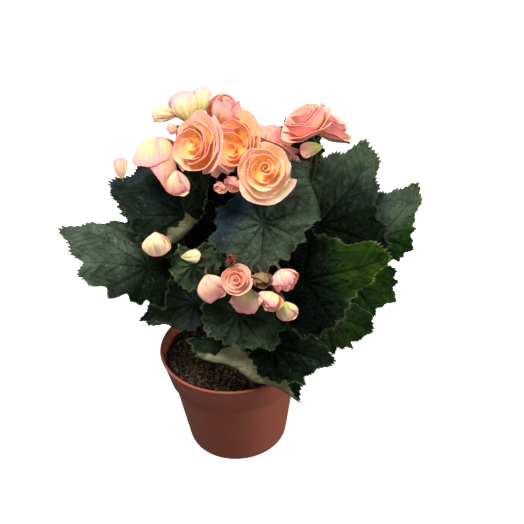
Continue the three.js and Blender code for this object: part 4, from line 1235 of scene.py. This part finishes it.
FLOWERS = {
    "bloom_left": flower_row(
        "northwest", "bell", (-48, 8, 281), (-0.1, -0.45, -0.88), 18, (0.9, 1.1, 0), spin=0.9, frill=2,
        uneven=0.75, nod=TOWARDS_VIEWER,
    ),
    "bloom_top_left": flower_row(
        "northwest", "cup", (-19, -26, 303), (-0.6, -0.6, 0.45), 19, (0.8, 1.2, 0), frill=1.5, uneven=0.2,
        drift=(-0.05, 0.05),
        guards=((15, 1.4, 0.2, 1.6, 0), (70, 1.3, 0.1, 2, 0), (130, 1.1, 0.3, 1.6, 0)),
    ),
    "bloom_top_middle": flower_row(
        "middle", "cup", (11, 4, 289), (-0.4, -0.7, 0.5), 20, (0.85, 1.1, 0), frill=1.5, uneven=0.2,
        drift=(-0.03, -0.04),
        guards=((100, 1.3, 0.5, 1.4, 0), (40, 1.3, 0.5, 1.4, 0), (170, 1.35, 0.1, 2, 0)),
    ),
    "bloom_front": flower_row(
        "middle", "rose", (33, -40, 289), (0.05, -0.85, 0.5), 19, (0.95, 0.8, 0), frill=1.25,
        drift=(0.01, 0.03), guards=((-92, 1.2, 0, 0.9, 0),),
    ),
    "bloom_behind": flower_row(
        "middle", "loose", (41, 20, 288), (0.3, 0.4, 0.7), 16.5, (0.7, 1, 0),
        guards=((180, 1.3), (-100, 1.3), (100, 1.2)),
    ),
    "bloom_crown": flower_row(
        "northwest", "opening", (5, 30, 309), (0.2, -0.1, 1), 15, (0.2, 1.3, 0),
        guards=((150, 1.3), (-150, 1.3)),
    ),
    "bloom_right_left": flower_row(
        "northeast", "loose", (65, 0, 310), (-0.4, 0.05, 0.85), 16, (0.2, 1.45, 0), frill=1.4,
        guards=((-90, 1.2), (0, 1.2), (120, 1.2)),
    ),
    "bloom_right": flower_row(
        "northeast", "loose", (86, 24, 296), (0.5, 0.1, 0.8), 16, (0.25, 1.45, 0), frill=1.6,
        guards=((-110, 1.4, 0, 0.2, 0.5), (-160, 1.2), (60, 1.2)),
    ),
    "bloom_low": flower_row("front", "rose", (9, -73, 216), (-0.1, -0.8, 0.55), 11.6, (0.15, 1.5, 0)),
    "bloom_back_left": flower_row("back", "cup", (-14, 90, 232), (-0.3, 0.7, 0.6), 18, (0.85, 0.6, 0)),
    "bloom_back_right": flower_row("back", "cup", (26, 92, 226), (0.35, 0.7, 0.55), 17, (0.7, 0.75, 0)),
    "bud_crown_large": flower_row(
        "northwest", "tall_bud", (-25, 5, 322), (-0.3, 0.45, 0.85), 13.5, (0.2, 1.5, 0.8), frill=0.6,
    ),
    "bud_crown_side": flower_row(
        "northwest", "slim_bud", (-42, 10, 314), (-1, 0, 0.1), 10.5, (0, 0.5, 0.4),
    ),
    "bud_crown_tall": flower_row(
        "northwest", "slim_bud", (-13, 24, 319), (0.12, 0.4, 0.88), 12, (0, 0.9, 1),
    ),
    "bud_crown_small": flower_row(
        "northwest", "bud", (-35, -4, 309), (-0.8, -0.3, -0.1), 4.5, (0.8, 2, 0),
    ),
    "bud_hanging": flower_row(
        "northwest", "tall_bud", (-32, -28, 275), (0.1, -0.6, -0.75), 10.5, (0.6, 1.5, 0), spin=0.7,
        frill=2, nod=TOWARDS_VIEWER,
    ),
    "bud_small_middle": flower_row(
        "middle", "opening", (0, -40, 276), (-0.2, -0.9, 0.3), 5.5, (0.9, 1.4, 0.2),
    ),
    "bud_opening_middle": flower_row(
        "middle", "opening", (9, -35, 276), (-0.3, -0.9, 0), 7.5, (1.3, 1.7, 0),
    ),
    "bud_right_low": flower_row(
        "northeast", "slim_bud", (69, -12, 291), (-1, -0.3, -0.1), 10, (0.3, 0.9, 1.3), nod=TOWARDS_VIEWER,
    ),
    "bud_low_left": flower_row(
        "front", "bud", (-10, -66, 205), (0.35, -0.5, -0.75), 11.5, (0, 1.4, 0.15), spin=0.8, frill=1.2,
    ),
    "bud_low_bottom": flower_row(
        "front", "bud", (15, -68, 193), (0, -0.55, -0.84), 11.5, (0, 1.4, 0.6), spin=-0.8, frill=1.2,
        ridges=0.05,
    ),
    "bud_low_right": flower_row(
        "front", "opening", (33, -84, 203), (-0.3, -0.8, -0.4), 9.5, (0.5, 1, 0.3), frill=2,
    ),
    "bud_low_green": flower_row(
        "front", "bud", (46, -79, 190), (0.25, -0.5, -0.8), 8, (0, 0.6, 1.2), spin=0.7, frill=1.5,
        ridges=0.06,
    ),
    "bud_low_pink": flower_row(
        "front", "opening", (45, -71, 212), (0.35, -0.5, -0.8), 11, (0, 1.7, 0), frill=2,
    ),
    "bud_dim": flower_row(
        "front", "opening", (6, -67, 230), (-0.1, -0.84, 0.54), 5, (0, 1, 0), faded=True,
    ),
    "bud_faded": flower_row(
        "front", "opening", (28, -76, 217), (0, -0.9, -0.2), 7.5, (0, 0, 1), frill=2, faded=True,
    ),
    "bud_white": flower_row(
        "west", "bud", (-50, -46, 233), (0.15, -0.5, -0.8), 10, (0, 0.6, 0), ridges=0.13,
        nod=TOWARDS_VIEWER,
    ),
    "bud_yellow": flower_row(
        "front", "slim_bud", (-24, -58, 229), (0.95, -0.2, 0.15), 8.5, (0, 0, 0.7), frill=1.5,
        nod=TOWARDS_VIEWER,
    ),
    "bud_left_tip": flower_row(
        "northwest", "slim_bud", (-85, 40, 256), (-0.08, 0.5, 0.84), 10, (0.2, 1.3, 0),
    ),
    "bud_tucked": flower_row("middle", "bud", (56, 10, 272), (0.3, -0.3, 0.9), 6, (0.1, 0.9, 0)),
    "bud_back": flower_row("back", "bud", (6, 100, 250), (0, 0.5, 0.9), 8, (0.1, 0.7, 0.4)),
}


def foot_of(flower):
    """Where the petals meet and the stalk ends."""
    depth = FORMS[flower["form"]]["foot"]
    return np.array(flower["centre"], float) + unit(flower["facing"]) * depth * flower["radius"]


def petal_sheet(layer, towards, depth, draw, frill, shape):
    """One petal on its bowl, round an angle, in rows from its foot to its rim."""
    count, foot, belly, rim = layer
    flatness, pressed, ridges = shape["flatness"], shape["pressed"], shape["ridges"]
    u = np.linspace(-1, 1, shape["columns"])[None, :]
    along = np.linspace(0, 1, PETAL_ROWS)[:, None]
    t = along * (1 - shape["rounding"] * np.abs(u) ** 2.2 * along)
    early, middle, late = (1 - t) ** 2, 2 * t * (1 - t), t * t
    wide = 1 + draw.normal(0, WIDTH_SPREAD * frill)
    tall = 1 + draw.normal(0, HEIGHT_SPREAD * frill)
    out = early * foot[0] + middle * belly[0] + late * rim[0] * wide
    up = early * foot[1] + middle * belly[1] + late * (rim[1] + (tall - 1) * 2)
    roll = np.clip((along - ROLL_START) / (1 - ROLL_START), 0, 1) ** 2
    open_wide = min(1.0, rim[0])
    out = out + ROLL_OUT * roll * open_wide
    up = up - ROLL_DOWN * roll * open_wide
    wave = np.sin(u * draw.uniform(2.5, 4.5) + draw.uniform(0, 6)) + 0.5 * np.sin(u * 9 + draw.uniform(0, 6))
    out = out + RIM_WAVE * frill * along ** 3 * wave * open_wide
    if ridges:
        fold = np.sin(u * 9 + draw.uniform(0, 6)) + 0.6 * np.sin(u * 21 + 1.5 * along + draw.uniform(0, 6))
        out = out + ridges * np.sin(math.pi * along) * fold + MARGIN_FLARE * np.abs(u) ** 5 * along
    up = up + RIM_FLUTTER * frill * along ** 4 * np.sin(u * 11 + draw.uniform(0, 6))
    out = out * (1 + SPIRAL * max(frill, 1) * u)
    spread = u * OVERLAP * draw.uniform(0.9, 1.1) / count * math.pi
    turn = towards + spread + draw.normal(0, TURN_SPREAD * frill)
    flat = flatness + (pressed - flatness) * along ** 2.2
    points = np.stack([out * np.cos(turn), out * np.sin(turn) * flat, up + 0 * turn], axis=-1)
    place = np.stack([u + 0 * along, along + 0 * u, depth + towards * 0.3 + 0 * u * along], axis=-1)
    return points.reshape(-1, 3), place.reshape(-1, 3)


def heart_sheet(heart, draw):
    """The innermost petal, rolled up like a scroll that leans outwards at its rim."""
    turns, widest, low, high = heart
    u = np.linspace(0, 1, HEART_COLUMNS)[None, :]
    along = np.linspace(0, 1, HEART_ROWS)[:, None]
    angle = u * turns * 2 * math.pi + draw.uniform(0, 6)
    radius = widest * (0.08 + 0.92 * u ** 0.8) * (0.55 + 0.45 * along + 0.12 * along ** 4)
    wave = HEART_RIM_WAVE * np.sin(u * 17 + draw.uniform(0, 6)) - HEART_RIM_FALL * u
    up = low + (high - low) * along + wave * along
    points = np.stack([radius * np.cos(angle), radius * np.sin(angle), up], axis=-1)
    across, out = 0.3 * np.sin(6 * u), 0.2 + 0.76 * along
    place = np.stack([across + 0 * along, out + 0 * u, 9 + 2 * u + 0 * along], axis=-1)
    return points.reshape(-1, 3), place.reshape(-1, 3)


def petal_shape(flower):
    """A bud's petals are creased and pressed flat at the rim, but those of an opening bud stand apart."""
    if flower["form"] not in BUD_FORMS:
        return OPEN_PETAL
    shape = {**BUD_PETAL, "ridges": flower.get("ridges", BUD_PETAL["ridges"])}
    if flower["form"] == "opening":
        shape["pressed"] = shape["flatness"]
    return shape


def make_flower(name, flower, number, petals):
    """A bloom or bud: layers of thin petals round its axis, and the rolled heart of a bloom."""
    draw = np.random.default_rng(FLOWER_SEED + number)
    form = FORMS[flower["form"]]
    facing = unit(flower["facing"])
    is_bud = flower["form"] in BUD_FORMS
    broad = np.array(TOWARDS_VIEWER if is_bud else UPWARDS, float)
    upward = unit(broad - facing * facing.dot(broad))
    axes = np.array([np.cross(upward, facing), upward, facing])
    centre = np.array(flower["centre"], float)
    skin = Skin("petal_place", "petal_tone")
    frill = flower.get("frill", 0.4 if is_bud else 1.0)
    shape = petal_shape(flower)
    drift = np.array([*flower.get("drift", (0, 0)), 0])
    tone = np.array(flower["tone"], float)
    layers = form["layers"]
    sheets = []
    for angle, reach, *own in flower.get("guards", ()):
        belly = (GUARD_BELLY * reach, form["foot"] - GUARD_SAG)
        layer = (GUARDS_ROUND, (0.07, form["foot"]), belly, (reach, GUARD_HEIGHT))
        sheet = petal_sheet(layer, math.radians(angle), -1, draw, GUARD_FRILL, OPEN_PETAL)
        sheets.append((PETAL_ROWS, OPEN_PETAL["columns"], sheet, own or tone * GUARD_TONE))
    for depth, layer in enumerate(layers):
        warmth = 0.75 + 0.4 * depth / len(layers)
        for petal in range(layer[0]):
            middle = (petal + 0.5) / layer[0] * 2 * math.pi + depth * LAYER_TURN + flower.get("spin", 0)
            wide, tall = layer[3]
            uneven = 1 + flower.get("uneven", 0) * math.cos(middle)
            own_layer = (*layer[:3], (wide, tall * uneven))
            points, place = petal_sheet(own_layer, middle, depth, draw, frill, shape)
            tones = tone * (warmth, draw.uniform(0.8, 1.2), 1)
            sheets.append((PETAL_ROWS, shape["columns"], (points + drift * depth, place), tones))
    if "heart" in form:
        points, place = heart_sheet(form["heart"], draw)
        sheets.append((HEART_ROWS, HEART_COLUMNS, (points + drift * len(layers), place), tone * (1.2, 1, 1)))
    for rows, columns, (points, place), tones in sheets:
        points = points * flower["radius"] @ axes + centre
        faces = [face[::-1] for face in grid_faces(rows, columns, False)]
        skin.add(points, faces, 0, place, np.broadcast_to(tones, points.shape))
    piece = skin.piece(f"petals_{name}", petals)
    apply_modifier(piece, "SOLIDIFY", thickness=PETAL_THICKNESS * MM, offset=0, material_offset=1)
    bpy.ops.object.shade_smooth_by_angle(angle=math.radians(PETAL_SHARP_ANGLE))
    hand_in(piece, [name])


add_camera()
add_lights()
make_floor()
make_pot()
make_soil()
make_litter()
foliage_materials = (leaf_top_finish(), leaf_under_finish(), stem_finish(), hair_finish())
for shoot_name in SHOOTS:
    make_shoot(shoot_name, foliage_materials)
petal_materials = (petal_finish("petal_inside", True), petal_finish("petal_outside", False))
faded_materials = (faded_finish(), faded_finish())
for flower_number, (flower_name, grown) in enumerate(FLOWERS.items()):
    flower_materials = faded_materials if "faded" in grown else petal_materials
    make_flower(flower_name, grown, flower_number, flower_materials)
